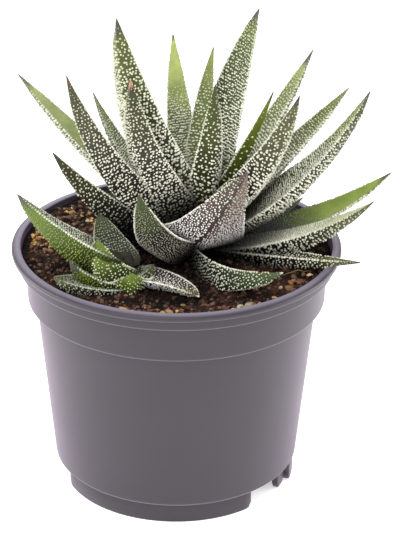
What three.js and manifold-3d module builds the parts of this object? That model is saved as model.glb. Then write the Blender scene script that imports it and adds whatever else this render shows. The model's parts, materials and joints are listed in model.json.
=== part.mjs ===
// A zebra haworthia in a round plastic nursery pot: a loose spiral of stiff keeled leaves rough with
// tubercles, a young offset beside it, and dry soil in a thin-walled pot. Millimetres, +Z up.
import * as THREE from "three";
import { mergeVertices } from "three/addons/utils/BufferGeometryUtils.js";
import Module from "manifold-3d";

const wasm = await Module();
wasm.setup();

// Pot
const POT_HEIGHT = 94;
const RIM_RADIUS = 60.6;
const RIM_DEPTH = 2.6;
const RIM_ROUNDING = 0.6;
const SKIRT_RADIUS = 58.3;
const SKIRT_BOTTOM = 86.8;
const BAND_RADIUS = 54.9;
const BAND_BOTTOM = 73;
const WALL_TOP_RADIUS = 51.9;
const WALL_BOTTOM_RADIUS = 45.6;
const WALL_BOTTOM = 10.6;
const SEAM_RADIUS = 44.4;
const SEAM_HEIGHT = 7.8;
const FOOT_RADIUS = 42.7;
const FOOT_THICKNESS = 2;
const WALL = 1.2;
const FLOOR_TOP = 9.6;
const FLOOR_CORNER = 1.2;
const BAND_FLARE = 0.5;
const LEDGE_FALL = 0.4;
const RIM_DRAFT = 0.2;
const WALL_FOOT_INSET = 0.2;
const WALL_FOOT_RISE = 1;
const POT_SIDES = 40;
const FACET_DEGREES = 8;
// How far a cut goes past the face it opens, and how far two joined forms reach into each other
const CUT_PAST = 1;
const LAP = 0.5;

// Feet: the ring under the pot is broken by three drain gaps; only the front foot is set in.
// Angles are degrees round the pot from +X towards +Y.
const FOOT_GAPS = [
  { from: -49, to: -27 },
  { from: 78, to: 97 },
  { from: 168, to: 202 },
];
const FLUSH_FOOT = { from: -17, to: 168, radius: 44.6 };
const DRAIN_HOLES = 6;
const DRAIN_RADIUS = 4;
const DRAIN_CIRCLE = 27;
const DRAIN_SIDES = 12;

// Soil
const SOIL_TOP = 90.5;
const SOIL_FALL_X = 0.02;
const SOIL_RISE_Y = 0.015;
const SOIL_RINGS = 7;
const SOIL_SIDES = 28;
const SOIL_LUMP = 1.1;
const SOIL_SWAY = 0.3;
const RING_SEED = 101;
const CHIP_SHARE = 0.12;
const CHIP_RISE = 1.6;

// Clearance between pieces that touch, and between the tubercles of two leaves
const GAP = 0.32;
const LEAF_GAP = 0.4;

// Stems: where each one stands, its radius, how deep it goes below the soil and how far it rises.
// Both ends are chamfered to a share of the radius.
const STEM_NECK = 0.7;
const STEM_CHAMFER = 3;
const STEM_DOME = 0.6;
const STEM_SIDES = 12;
const STEMS = {
  stem: { x: 6.5, y: 2, radius: 4.2, below: 22, above: 17 },
  pup_stem: { x: -18, y: -25, radius: 2.8, below: 12, above: 11 },
};

// Leaf surface
const RELIEF = 0.8;
const INNER_RELIEF = 0.55;
const INNER_RELIEF_END = 0.55;
const FULL_RELIEF_HALF_WIDTH = 2.2;
const HOLLOW = 0.16;
const KEEL_POWER = 0.75;
const ROOT_IN_STEM = 0.4;
const ROW_SPACING = 5.8;
const FEWEST_ROWS = 6;
const OUTER_COLUMNS = 6;
const INNER_COLUMNS = 4;
const ROOT_WIDTH = 0.7;
const SHOULDER = 0.25;
const TAPER = 1.7;
const TIP_WIDTH = 0.9;
const TIP_THICKNESS = 0.7;
const TIP_POINT = 0.4;

// Leaves, from the heart outwards. turn: degrees round the stem from +X towards +Y. root: height at
// which the leaf leaves the stem. reach and rise: the tip's distance from the stem's axis and its
// height above the soil. bow: how far the middle hangs out below the line from root to tip. side: how
// far the middle swings to the leaf's left. roll: degrees it is turned about its own length. A leaf
// that gives no side or roll has none.
const MAIN_LEAVES = {
  leaf_heart: { turn: -167, root: 15, reach: 9, rise: 44, bow: 1, wide: 12, thick: 4.5 },
  leaf_front_heart: { turn: -68, root: 15, reach: 18, rise: 71, bow: 3, wide: 12, thick: 6 },
  leaf_back_left_heart: { turn: 110, root: 15, reach: 24, rise: 75, bow: 3, wide: 12, thick: 5 },
  leaf_tall: { turn: 34, root: 14, reach: 27.2, rise: 87.7, bow: 1, side: 3.8, wide: 26.5, thick: 7 },
  leaf_tall_left: { turn: -160, root: 13, reach: 29.5, rise: 93, bow: 3.8, side: -1, roll: 34, wide: 27, thick: 8 },
  leaf_back_right_heart: { turn: 72, root: 13, reach: 21, rise: 71, bow: 2, side: 2, wide: 10, thick: 4.5 },
  leaf_blade: { turn: -20, root: 13, reach: 29, rise: 66, bow: 1, roll: -10, wide: 7.5, thick: 4 },
  leaf_front_left: { turn: -142, root: 12, reach: 29, rise: 73, bow: 6, roll: 25, wide: 19.5, thick: 7 },
  leaf_right: { turn: 17, root: 11, reach: 44, rise: 73, bow: 2, side: 0.5, wide: 17, thick: 6 },
  leaf_front_right: { turn: -31, root: 11, reach: 42, rise: 69, bow: 5, roll: -40, wide: 15.5, thick: 7 },
  leaf_left_back: { turn: 161, root: 10, reach: 39, rise: 56, bow: 4, wide: 13, thick: 5 },
  leaf_left_broad: { turn: -160, root: 9, reach: 48, rise: 74, bow: 6.5, side: -0.5, roll: 24, wide: 19, thick: 9.5 },
  leaf_right_upper: { turn: 18, root: 8, reach: 59, rise: 56.5, bow: 1.4, wide: 18, thick: 6 },
  leaf_right_big: { turn: -6, root: 7, reach: 62, rise: 65, bow: 6.8, roll: 2, wide: 26, thick: 9 },
  leaf_left_long: { turn: 173, root: 7, reach: 64, rise: 65, bow: 1.8, roll: -8, wide: 17, thick: 7.5 },
  leaf_front_broad: { turn: -54, root: 9, reach: 31, rise: 41.5, bow: 7, side: -7.6, roll: -25, wide: 31.5, thick: 7 },
  leaf_front_left_low: { turn: -118, root: 5, reach: 42, rise: 38, bow: 9, side: 0.5, roll: 18, wide: 20, thick: 7 },
  leaf_left_low: { turn: -167, root: 1.5, reach: 52, rise: 43, bow: 3.5, roll: 25, wide: 22, thick: 10 },
  leaf_right_low: { turn: 5, root: 4, reach: 72, rise: 28, bow: 6.5, roll: 5, wide: 20, thick: 6.5 },
  leaf_right_front_low: { turn: -15, root: 3, reach: 66, rise: 27, bow: 5.3, roll: -4, wide: 17, thick: 9.5 },
  leaf_dry: { turn: -27, root: 3, reach: 66, rise: 9, bow: 0.5, roll: -10, wide: 14, thick: 7 },
  leaf_front_ground: { turn: -57, root: 3, reach: 56, rise: 13, bow: 5.5, side: -5, roll: -50, wide: 17.5, thick: 8 },
  leaf_back_upper: { turn: 75, root: 9, reach: 40, rise: 38, bow: 5, wide: 12, thick: 5 },
  leaf_back_left: { turn: 118, root: 8, reach: 41, rise: 30, bow: 5, wide: 12, thick: 5 },
  leaf_back_low: { turn: 95, root: 5, reach: 52, rise: 24, bow: 5, wide: 12, thick: 5 },
  leaf_back_right: { turn: 52, root: 5, reach: 55, rise: 26, bow: 5, wide: 12, thick: 5 },
  leaf_back_left_low: { turn: 142, root: 4, reach: 44, rise: 17, bow: 4, wide: 11, thick: 4.5 },
  leaf_back_right_low: { turn: 30, root: 3, reach: 47, rise: 10, bow: 4, wide: 11, thick: 4.5 },
};
const PUP_LEAVES = {
  pup_heart: { turn: 124, root: 4, reach: 18, rise: 19.6, bow: 1.5, wide: 17, thick: 5 },
  pup_front: { turn: -140, root: 3, reach: 12.5, rise: 20, bow: 3, roll: 25, wide: 17, thick: 9 },
  pup_long: { turn: 180, root: 9.5, reach: 38, rise: 33.6, bow: 2, roll: 15, wide: 25, thick: 11 },
  pup_left: { turn: -155, root: 3, reach: 21.6, rise: 11.9, bow: 2.5, wide: 17, thick: 8 },
  pup_left_low: { turn: -150, root: 2, reach: 29, rise: 8.2, bow: 2, wide: 20, thick: 9 },
  pup_front_low: { turn: -80, root: 4, reach: 13, rise: 9, bow: 3, wide: 18, thick: 8 },
  pup_right: { turn: -15, root: 3, reach: 10, rise: 7.5, bow: 1, wide: 10, thick: 6 },
  pup_right_low: { turn: -34, root: 4, reach: 31.2, rise: 2.3, bow: 0, side: 3.5, roll: -10, wide: 17, thick: 5 },
};

const plastic = { color: 0x6b6369, roughness: 0.45, metalness: 0 };
const peat = { color: 0x4a3026, roughness: 1, metalness: 0 };
const stemSkin = { color: 0x5a5a34, roughness: 0.8, metalness: 0 };
const leafGreen = { color: 0x5d7443, roughness: 0.55, metalness: 0 };
const leafDark = { color: 0x3c4a30, roughness: 0.55, metalness: 0 };
const leafLight = { color: 0x86a04f, roughness: 0.5, metalness: 0 };
const LEAF_FINISH = {
  leaf_back_left_heart: leafLight,
  leaf_tall: leafLight,
  leaf_back_right_heart: leafLight,
  leaf_right: leafLight,
  leaf_right_upper: leafLight,
  leaf_right_low: leafLight,
  leaf_left_long: leafLight,
  leaf_front_heart: leafDark,
  leaf_front_left: leafDark,
  leaf_front_right: leafDark,
  leaf_left_broad: leafDark,
  leaf_left_low: leafDark,
  leaf_right_front_low: leafDark,
  pup_long: leafLight,
  pup_left: leafLight,
};

// Corners of one closed form that are nearer than this are one corner.
const WELD = 1e-4;
const SLIVER = 0.02;

const radians = THREE.MathUtils.degToRad;

// A number from 0 to 1 that is always the same for the same whole number: the far decimals of a sine.
const CHANCE_STEP = 12.9898;
const CHANCE_SPREAD = 43758.5453;
function chance(seed) {
  const wave = Math.sin(seed * CHANCE_STEP) * CHANCE_SPREAD;
  return wave - Math.floor(wave);
}

// A closed mesh with shared corners, as a solid that can be joined and cut.
function solidOf(geometry) {
  const plain = geometry.clone();
  plain.deleteAttribute("normal");
  plain.deleteAttribute("uv");
  const shared = mergeVertices(plain, WELD);
  return new wasm.Manifold(
    new wasm.Mesh({
      numProp: 3,
      vertProperties: shared.getAttribute("position").array,
      triVerts: new Uint32Array(shared.getIndex().array),
    }),
  );
}

function geometryOf(solid) {
  const mesh = solid.getMesh();
  return new THREE.BufferGeometry()
    .setAttribute("position", new THREE.BufferAttribute(mesh.vertProperties, 3))
    .setIndex(new THREE.BufferAttribute(mesh.triVerts, 1));
}

// The biggest of the bodies that a cut leaves, without the loose scraps and the slivers on its edges.
function biggest(solid) {
  const bodies = solid.simplify(SLIVER).decompose();
  return bodies.reduce((a, b) => (a.volume() > b.volume() ? a : b));
}

function meshOf(name, solid, finish) {
  const mesh = new THREE.Mesh(geometryOf(solid), new THREE.MeshStandardMaterial(finish));
  mesh.geometry.computeVertexNormals();
  mesh.name = name;
  return mesh;
}

// A lathe stands along Y, so it is turned up to Z.
function turned(profile, sides) {
  const points = profile.map(([radius, height]) => new THREE.Vector2(radius, height));
  return solidOf(new THREE.LatheGeometry(points, sides).rotateX(Math.PI / 2));
}

// A wedge of a ring between two radii, two angles and two heights.
function ringWedge(inner, outer, from, to, low, high) {
  const start = radians(from);
  const end = radians(to);
  const shape = new THREE.Shape();
  shape.absarc(0, 0, outer, start, end, false);
  shape.absarc(0, 0, inner, end, start, true);
  shape.closePath();
  const wedge = new THREE.ExtrudeGeometry(shape, {
    depth: high - low,
    bevelEnabled: false,
    curveSegments: Math.ceil((to - from) / FACET_DEGREES),
  });
  return solidOf(wedge.translate(0, 0, low));
}

function pot() {
  const rimBottom = POT_HEIGHT - RIM_DEPTH;
  const body = turned(
    [
      [0, SEAM_HEIGHT],
      [FOOT_RADIUS - FOOT_THICKNESS, SEAM_HEIGHT],
      [FOOT_RADIUS - FOOT_THICKNESS, 0],
      [FOOT_RADIUS, 0],
      [FOOT_RADIUS, SEAM_HEIGHT],
      [SEAM_RADIUS, SEAM_HEIGHT],
      [WALL_BOTTOM_RADIUS - WALL_FOOT_INSET, SEAM_HEIGHT + WALL_FOOT_RISE],
      [WALL_BOTTOM_RADIUS, WALL_BOTTOM],
      [WALL_TOP_RADIUS, BAND_BOTTOM],
      [BAND_RADIUS, BAND_BOTTOM + LEDGE_FALL],
      [BAND_RADIUS + BAND_FLARE, SKIRT_BOTTOM],
      [SKIRT_RADIUS, SKIRT_BOTTOM + LEDGE_FALL],
      [SKIRT_RADIUS, rimBottom],
      [RIM_RADIUS - RIM_DRAFT, rimBottom],
      [RIM_RADIUS, POT_HEIGHT - RIM_ROUNDING],
      [RIM_RADIUS - RIM_ROUNDING, POT_HEIGHT],
      [SKIRT_RADIUS - WALL, POT_HEIGHT],
      [SKIRT_RADIUS - WALL, SKIRT_BOTTOM + WALL],
      [BAND_RADIUS + BAND_FLARE - WALL, SKIRT_BOTTOM + WALL - LEDGE_FALL],
      [BAND_RADIUS - WALL, BAND_BOTTOM + WALL],
      [WALL_TOP_RADIUS - WALL, BAND_BOTTOM + WALL - LEDGE_FALL],
      [WALL_BOTTOM_RADIUS - WALL, FLOOR_TOP + FLOOR_CORNER],
      [WALL_BOTTOM_RADIUS - WALL - FLOOR_CORNER, FLOOR_TOP],
      [0, FLOOR_TOP],
    ],
    POT_SIDES,
  );
  const flush = ringWedge(
    FOOT_RADIUS - LAP,
    FLUSH_FOOT.radius,
    FLUSH_FOOT.from,
    FLUSH_FOOT.to,
    0,
    SEAM_HEIGHT + LAP,
  );
  const gaps = FOOT_GAPS.map(({ from, to }) =>
    ringWedge(FOOT_RADIUS - 2 * FOOT_THICKNESS, RIM_RADIUS, from, to, -CUT_PAST, SEAM_HEIGHT),
  );
  const drains = Array.from({ length: DRAIN_HOLES }, (_, i) => {
    const angle = (i * 2 * Math.PI) / DRAIN_HOLES;
    const length = FLOOR_TOP + CUT_PAST;
    const hole = new THREE.CylinderGeometry(DRAIN_RADIUS, DRAIN_RADIUS, length, DRAIN_SIDES);
    hole.rotateX(Math.PI / 2).translate(DRAIN_CIRCLE * Math.cos(angle), DRAIN_CIRCLE * Math.sin(angle), 0);
    return solidOf(hole.translate(0, 0, CUT_PAST + length / 2));
  });
  return [...gaps, ...drains].reduce((left, cut) => left.subtract(cut), body.add(flush));
}

function soilHeight(x, y) {
  return SOIL_TOP - SOIL_FALL_X * x + SOIL_RISE_Y * y;
}

// Rings of corners from the middle to the wall, each lifted or sunk by chance, some lifted as a chip;
// below them the plug follows the pot's inside down to its floor.
function soil() {
  const positions = [];
  const index = [];
  const evenRing = (radius, height) => {
    for (let i = 0; i < SOIL_SIDES; i += 1) {
      const turn = (i * 2 * Math.PI) / SOIL_SIDES;
      const x = radius * Math.cos(turn);
      const y = radius * Math.sin(turn);
      positions.push(x, y, height ?? soilHeight(x, y));
    }
  };
  const roughRing = (radius, ring) => {
    for (let i = 0; i < SOIL_SIDES; i += 1) {
      const seed = ring * RING_SEED + 3 * i;
      const turn = ((i + SOIL_SWAY * (2 * chance(seed) - 1)) * 2 * Math.PI) / SOIL_SIDES;
      const x = radius * Math.cos(turn);
      const y = radius * Math.sin(turn);
      const chip = chance(seed + 1) < CHIP_SHARE ? CHIP_RISE : 0;
      positions.push(x, y, soilHeight(x, y) + chip + SOIL_LUMP * (2 * chance(seed + 2) - 1));
    }
  };
  const inside = (outerRadius) => (outerRadius - WALL) * Math.cos(Math.PI / POT_SIDES) - GAP;
  const edge = inside(SKIRT_RADIUS);
  positions.push(0, 0, SOIL_TOP);
  for (let k = 1; k < SOIL_RINGS; k += 1) roughRing(edge * Math.sqrt(k / SOIL_RINGS), k);
  evenRing(edge);
  const steps = [
    [edge, SKIRT_BOTTOM + WALL + GAP],
    [inside(BAND_RADIUS + BAND_FLARE), SKIRT_BOTTOM + WALL + GAP - LEDGE_FALL],
    [inside(BAND_RADIUS), BAND_BOTTOM + WALL + GAP],
    [inside(WALL_TOP_RADIUS), BAND_BOTTOM + WALL + GAP - LEDGE_FALL],
    [inside(WALL_BOTTOM_RADIUS), WALL_BOTTOM + WALL],
    [inside(WALL_BOTTOM_RADIUS - FLOOR_CORNER), FLOOR_TOP + GAP],
  ];
  for (const [radius, height] of steps) evenRing(radius, height);
  const rings = SOIL_RINGS + steps.length;
  const at = (k, i) => 1 + k * SOIL_SIDES + (i % SOIL_SIDES);
  for (let i = 0; i < SOIL_SIDES; i += 1) {
    index.push(0, at(0, i), at(0, i + 1));
    for (let k = 0; k + 1 < rings; k += 1) {
      index.push(at(k, i), at(k + 1, i), at(k + 1, i + 1));
      index.push(at(k, i), at(k + 1, i + 1), at(k, i + 1));
    }
    index.push(at(rings - 1, i + 1), at(rings - 1, i), 1 + rings * SOIL_SIDES);
  }
  positions.push(0, 0, FLOOR_TOP + GAP);
  const geometry = new THREE.BufferGeometry();
  geometry.setAttribute("position", new THREE.BufferAttribute(new Float32Array(positions), 3));
  geometry.setIndex(index);
  return solidOf(geometry);
}

function stem({ x, y, radius, below, above }, extra) {
  const wide = radius + extra;
  const top = SOIL_TOP + above + extra;
  const profile = [
    [0, SOIL_TOP - below - extra],
    [STEM_NECK * wide, SOIL_TOP - below - extra],
    [wide, SOIL_TOP - below + STEM_CHAMFER],
    [wide, top - STEM_CHAMFER],
    [STEM_NECK * wide, top - STEM_DOME],
    [0, top],
  ];
  return turned(profile, STEM_SIDES).translate(x, y, 0);
}

// Full width along the leaf, as a share of its largest: a shoulder near the root, then a long taper.
function widthShare(s) {
  const shoulder = Math.sin((Math.min(1, s / SHOULDER) * Math.PI) / 2);
  return (ROOT_WIDTH + (1 - ROOT_WIDTH) * shoulder) * (1 - Math.pow(s, TAPER));
}

// The leaf's midrib is a curve with one bend, from the stem to the tip.
function midrib(leaf, stand) {
  const turn = radians(leaf.turn);
  const out = new THREE.Vector3(Math.cos(turn), Math.sin(turn), 0);
  const left = new THREE.Vector3(-Math.sin(turn), Math.cos(turn), 0);
  const ground = new THREE.Vector3(stand.x, stand.y, SOIL_TOP);
  const root = ground.clone().addScaledVector(out, stand.radius * ROOT_IN_STEM);
  root.z += leaf.root;
  const tip = ground.clone().addScaledVector(out, leaf.reach);
  tip.z += leaf.rise;
  const along = tip.clone().sub(root).normalize();
  const hang = new THREE.Vector3().crossVectors(left, along).negate();
  const bend = root.clone().lerp(tip, 0.5);
  bend.addScaledVector(hang, -2 * leaf.bow).addScaledVector(left, 2 * (leaf.side ?? 0));
  return { curve: new THREE.QuadraticBezierCurve3(root, bend, tip), left };
}

// Corners round one cross-section: x across the leaf and y towards its inner face. The outer side is a
// rounded keel, the inner side is a shallow hollow. bump says how far a tubercle may lift the corner.
function section(halfWidth, thickness, s) {
  const corners = [];
  for (let k = 0; k <= OUTER_COLUMNS; k += 1) {
    const across = Math.cos((Math.PI * k) / OUTER_COLUMNS);
    const keel = Math.pow(Math.max(0, 1 - Math.abs(across)), KEEL_POWER);
    corners.push({ x: halfWidth * across, y: -thickness * keel, bump: RELIEF });
  }
  for (let k = 1; k < INNER_COLUMNS; k += 1) {
    const across = (2 * k) / INNER_COLUMNS - 1;
    const hollow = HOLLOW * halfWidth * (1 - across * across);
    corners.push({ x: halfWidth * across, y: -hollow, bump: s < INNER_RELIEF_END ? INNER_RELIEF : 0 });
  }
  return corners;
}

// The way out of a section at one of its corners: midway between the normals of the edges beside it.
function awayFrom(corners, k) {
  const normal = (from, to) => new THREE.Vector2(from.y - to.y, to.x - from.x).normalize();
  const before = corners[(k + corners.length - 1) % corners.length];
  const after = corners[(k + 1) % corners.length];
  return normal(before, corners[k]).add(normal(corners[k], after)).normalize();
}

// One leaf as a closed skin. Every other corner is lifted along the surface as a tubercle, like the
// black squares of a chessboard. The plain form, grown by a margin, clears room for its neighbours.
function leafSkin(leaf, stand, grown) {
  const { curve, left } = midrib(leaf, stand);
  const rows = Math.max(FEWEST_ROWS, Math.round(curve.getLength() / ROW_SPACING));
  const roll = radians(leaf.roll ?? 0);
  const positions = [];
  const index = [];
  const columns = OUTER_COLUMNS + INNER_COLUMNS;
  for (let j = 0; j <= rows; j += 1) {
    const s = j / rows;
    const centre = curve.getPoint(s);
    const along = curve.getTangent(s);
    const side = left.clone().addScaledVector(along, -left.dot(along)).normalize();
    const inward = new THREE.Vector3().crossVectors(along, side);
    const across = side.clone().multiplyScalar(Math.cos(roll)).addScaledVector(inward, Math.sin(roll));
    inward.multiplyScalar(Math.cos(roll)).addScaledVector(side, -Math.sin(roll));
    const half = 0.5 * (TIP_WIDTH + (leaf.wide - TIP_WIDTH) * widthShare(s));
    const thick = TIP_THICKNESS + (leaf.thick - TIP_THICKNESS) * widthShare(s);
    section(half, thick, s).forEach((corner, k, corners) => {
      const away = awayFrom(corners, k);
      const raised = (j + k) % 2 === 0 && j > 0 && j < rows;
      const bump = raised ? corner.bump * Math.min(1, half / FULL_RELIEF_HALF_WIDTH) : 0;
      const lift = grown > 0 ? grown : bump;
      const x = corner.x + away.x * lift;
      const y = corner.y + away.y * lift;
      const point = centre.clone().addScaledVector(across, x).addScaledVector(inward, y);
      point.addScaledVector(along, (j === rows ? 1 : j === 0 ? -1 : 0) * grown);
      positions.push(...point.toArray());
    });
  }
  const at = (j, k) => j * columns + (k % columns);
  for (let j = 0; j < rows; j += 1) {
    for (let k = 0; k < columns; k += 1) {
      const raised = (j + k) % 2 === 0;
      const [a, b, c, d] = [at(j, k), at(j, k + 1), at(j + 1, k + 1), at(j + 1, k)];
      index.push(...(raised ? [a, c, b, a, d, c] : [a, d, b, b, d, c]));
    }
  }
  const root = curve.getPoint(0).addScaledVector(curve.getTangent(0), -grown);
  const tip = curve.getPoint(1).addScaledVector(curve.getTangent(1), TIP_POINT + grown);
  positions.push(...root.toArray(), ...tip.toArray());
  const rootCorner = (rows + 1) * columns;
  for (let k = 0; k < columns; k += 1) {
    index.push(at(0, k), at(0, k + 1), rootCorner);
    index.push(at(rows, k + 1), at(rows, k), rootCorner + 1);
  }
  const geometry = new THREE.BufferGeometry();
  geometry.setAttribute("position", new THREE.BufferAttribute(new Float32Array(positions), 3));
  geometry.setIndex(index);
  return solidOf(geometry);
}

const plant = new THREE.Group();
const occupied = [];

// Each leaf is cut clear of the stems and of the leaves nearer the heart, which it wraps.
function addLeaf(name, leaf, stand) {
  let solid = leafSkin(leaf, stand, 0);
  for (const other of occupied) solid = solid.subtract(other);
  plant.add(meshOf(name, biggest(solid), LEAF_FINISH[name] ?? leafGreen));
  occupied.push(leafSkin(leaf, stand, RELIEF + LEAF_GAP));
}

for (const [name, stand] of Object.entries(STEMS)) {
  plant.add(meshOf(name, stem(stand, 0), stemSkin));
  occupied.push(stem(stand, GAP));
}
for (const [name, leaf] of Object.entries(MAIN_LEAVES)) addLeaf(name, leaf, STEMS.stem);
for (const [name, leaf] of Object.entries(PUP_LEAVES)) addLeaf(name, leaf, STEMS.pup_stem);

const potSolid = pot();
const ground = occupied.reduce((left, other) => left.subtract(other), soil());

const whole = new THREE.Group();
whole.add(meshOf("pot", potSolid, plastic), meshOf("soil", biggest(ground), peat), plant);

// The origin lies under the middle of the whole thing, on the surface that it stands on.
const box = new THREE.Box3().setFromObject(whole, true);
const middle = box.getCenter(new THREE.Vector3());
whole.position.set(-middle.x, -middle.y, 0);

export default whole;
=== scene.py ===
# %% [markdown]
# # A potted haworthia, dressed on its CAD solids
# The object is a zebra-type haworthia in a 12 cm plastic nursery pot: a loose spiral of stiff, keeled
# leaves that are rough with white tubercles, a young offset at its foot, and dry peat with chips of bark
# and pumice. The solids that carry it come first, as a fixed frame in metres. Each cell after that makes
# one kind of surface and lays it where its solid is.

# %% Load the fixed frame
import itertools
import json
import math

import bpy
import numpy as np
from mathutils import Matrix, Vector

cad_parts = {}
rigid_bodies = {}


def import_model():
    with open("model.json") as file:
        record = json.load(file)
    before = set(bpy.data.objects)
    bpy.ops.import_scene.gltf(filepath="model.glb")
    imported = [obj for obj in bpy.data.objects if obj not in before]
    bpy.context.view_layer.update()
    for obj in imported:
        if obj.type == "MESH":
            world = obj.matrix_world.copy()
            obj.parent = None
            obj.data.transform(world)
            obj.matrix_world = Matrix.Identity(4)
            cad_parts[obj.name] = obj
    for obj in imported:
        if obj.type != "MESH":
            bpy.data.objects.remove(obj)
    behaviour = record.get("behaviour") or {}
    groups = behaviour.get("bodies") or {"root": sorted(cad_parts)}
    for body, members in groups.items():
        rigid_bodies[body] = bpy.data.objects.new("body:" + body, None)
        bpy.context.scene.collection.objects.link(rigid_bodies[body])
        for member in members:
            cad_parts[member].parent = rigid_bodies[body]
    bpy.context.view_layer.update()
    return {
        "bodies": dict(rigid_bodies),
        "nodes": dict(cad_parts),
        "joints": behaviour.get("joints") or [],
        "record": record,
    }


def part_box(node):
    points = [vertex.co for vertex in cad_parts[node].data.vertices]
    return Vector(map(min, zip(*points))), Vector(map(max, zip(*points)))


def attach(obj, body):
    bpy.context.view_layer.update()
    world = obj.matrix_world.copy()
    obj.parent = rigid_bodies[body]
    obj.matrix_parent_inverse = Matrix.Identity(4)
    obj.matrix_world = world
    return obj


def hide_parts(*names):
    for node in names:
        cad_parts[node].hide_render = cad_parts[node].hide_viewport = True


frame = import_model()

# %% [markdown]
# ## Units, colours and nodes
# Shapes are worked out in millimetres from the pot's axis on the floor, and only the last step turns them
# into metres in the CAD frame. Colours are written as the sRGB hex values that a picture editor shows,
# and one function turns them into the linear values that Blender mixes light in.

# %% Millimetres, hex colours and one helper for shader nodes
MM = 0.001
pot_low, pot_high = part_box("pot")
POT_AXIS = np.array([(pot_low.x + pot_high.x) / 2, (pot_low.y + pot_high.y) / 2, 0.0])


def metres(points):
    """Millimetres from the pot's axis on the floor, as metres in the CAD frame."""
    return np.asarray(points, float) * MM + POT_AXIS


def linear(hex_colour):
    """sRGB hex to linear red, green, blue: c / 12.92 below 0.04045, else ((c + 0.055) / 1.055) ^ 2.4."""
    c = np.array([int(hex_colour[i:i + 2], 16) / 255 for i in (1, 3, 5)])
    return np.where(c <= 0.04045, c / 12.92, ((c + 0.055) / 1.055) ** 2.4)


def palette(hex_colours):
    """Several hex colours, as rows of linear values."""
    return np.array([linear(c) for c in hex_colours.split()])


def rgba(hex_colour):
    """A hex colour with full opacity, as a shader socket wants it."""
    return (*linear(hex_colour), 1.0)


def add_node(tree, kind, settings=None, inputs=None):
    """Adds one shader node. settings are its properties. inputs are by socket name: a plain value is set
    on the socket, and another node's output is linked to it."""
    node = tree.nodes.new(kind)
    for key, value in (settings or {}).items():
        setattr(node, key, value)
    for key, value in (inputs or {}).items():
        if isinstance(value, bpy.types.NodeSocket):
            tree.links.new(value, node.inputs[key])
        else:
            node.inputs[key].default_value = value
    return node


print("pot axis, metres:", POT_AXIS.round(5).tolist())

# %% [markdown]
# Each material starts empty and gets a Principled surface. Its grain is noise in the object's own
# coordinates, so that it keeps its place on the piece and its size in millimetres.

# %% An empty material
def new_material(name):
    """An empty node material, and its tree."""
    material = bpy.data.materials.new(name)
    material.use_nodes = True
    material.node_tree.nodes.clear()
    return material, material.node_tree


print("materials so far:", len(bpy.data.materials))

# %% [markdown]
# ## The camera
# The photograph looks down at about 26 degrees from most of a metre away, through a long lens, so the
# pot's walls hardly converge. A constraint could aim the camera, but the photo's own yaw, pitch and roll say
# how it was taken, and repeat exactly.

# %% Camera
# Its place in mm, its angles in degrees, and the lens as a focal length in pixels of a picture this high.
CAMERA_PLACE = (0.0, -812.0, 479.0)
YAW, PITCH, ROLL = (math.radians(v) for v in (0.61, 25.97, 0.54))
FOCAL_PIXELS, IMAGE_HEIGHT = 2450.0, 535.0
SENSOR = 36.0


def camera_axes(yaw, pitch, roll):
    """Right, up and back, as columns: forward = (sin y cos p, cos y cos p, -sin p), then a roll about it."""
    forward = np.array([math.sin(yaw) * math.cos(pitch), math.cos(yaw) * math.cos(pitch), -math.sin(pitch)])
    level = np.array([math.cos(yaw), -math.sin(yaw), 0.0])
    upright = np.cross(level, forward)
    right = math.cos(roll) * level + math.sin(roll) * upright
    up = math.cos(roll) * upright - math.sin(roll) * level
    return np.column_stack([right, up, -forward])


camera_data = bpy.data.cameras.new("camera")
camera_data.sensor_width = SENSOR
camera_data.lens = FOCAL_PIXELS * SENSOR / IMAGE_HEIGHT
camera = bpy.data.objects.new("camera", camera_data)
bpy.context.scene.collection.objects.link(camera)
turned_camera = Matrix(camera_axes(YAW, PITCH, ROLL)).to_4x4()
camera.matrix_world = Matrix.Translation(metres(CAMERA_PLACE)) @ turned_camera
bpy.context.scene.camera = camera
print("lens, mm:", round(camera_data.lens, 1))

# %% [markdown]
# ## Meshes from arrays
# Every new piece is a grid of points that numpy works out in one go. A grid that closes on itself round
# each row makes a skin, and a point at each end closes it. Small repeated shapes, such as tubercles and
# crumbs, are one small template, copied by arrays of places, directions and sizes. Modelling by hand or
# with bmesh goes point by point; whole arrays take a second or two for a million triangles, and their
# formulas can be read and changed.

# %% Skins, closed ends and copies
def skin_faces(rows, columns, first=0):
    """Quads of a grid of rows by columns whose rows close on themselves, from point number first on."""
    j, k = np.meshgrid(np.arange(rows - 1), np.arange(columns), indexing="ij")
    here, right = j * columns + k, j * columns + (k + 1) % columns
    return first + np.stack([here, right, right + columns, here + columns], -1).reshape(-1, 4)


def fan_faces(ring_start, columns, tip):
    """Triangles from one ring of a skin to the point that closes it."""
    k = np.arange(columns)
    return np.stack([ring_start + k, ring_start + (k + 1) % columns, np.full(columns, tip)], -1)


def close_skins(skins, flip=False):
    """Points and faces of several closed skins, each given as a grid of points and its two end points.
    flip turns the faces round, for grids whose rows run the other way."""
    points, faces, first = [], [], 0
    for grid, ends in skins:
        rows, columns = grid.shape[:2]
        tip = first + rows * columns
        made = [skin_faces(rows, columns, first), fan_faces(first, columns, tip)[:, ::-1],
                fan_faces(tip - columns, columns, tip + 1)]
        faces += [f[:, ::-1] for f in made] if flip else made
        points += [grid.reshape(-1, 3), ends]
        first = tip + 2
    return np.concatenate(points), faces


def copies(template, faces, places, frames, sizes):
    """A template of (n, 3) points at many places. frames are (m, 3, 3) with the template's own axes as
    columns, sizes are (m, 3) along those axes. Point = place + frame (size * template point)."""
    points = places[:, None, :] + np.einsum("mij,mnj->mni", frames, sizes[:, None, :] * template[None])
    steps = np.arange(len(places))[:, None, None] * len(template)
    return points.reshape(-1, 3), [(f[None] + steps).reshape(-1, f.shape[1]) for f in faces]


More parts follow.
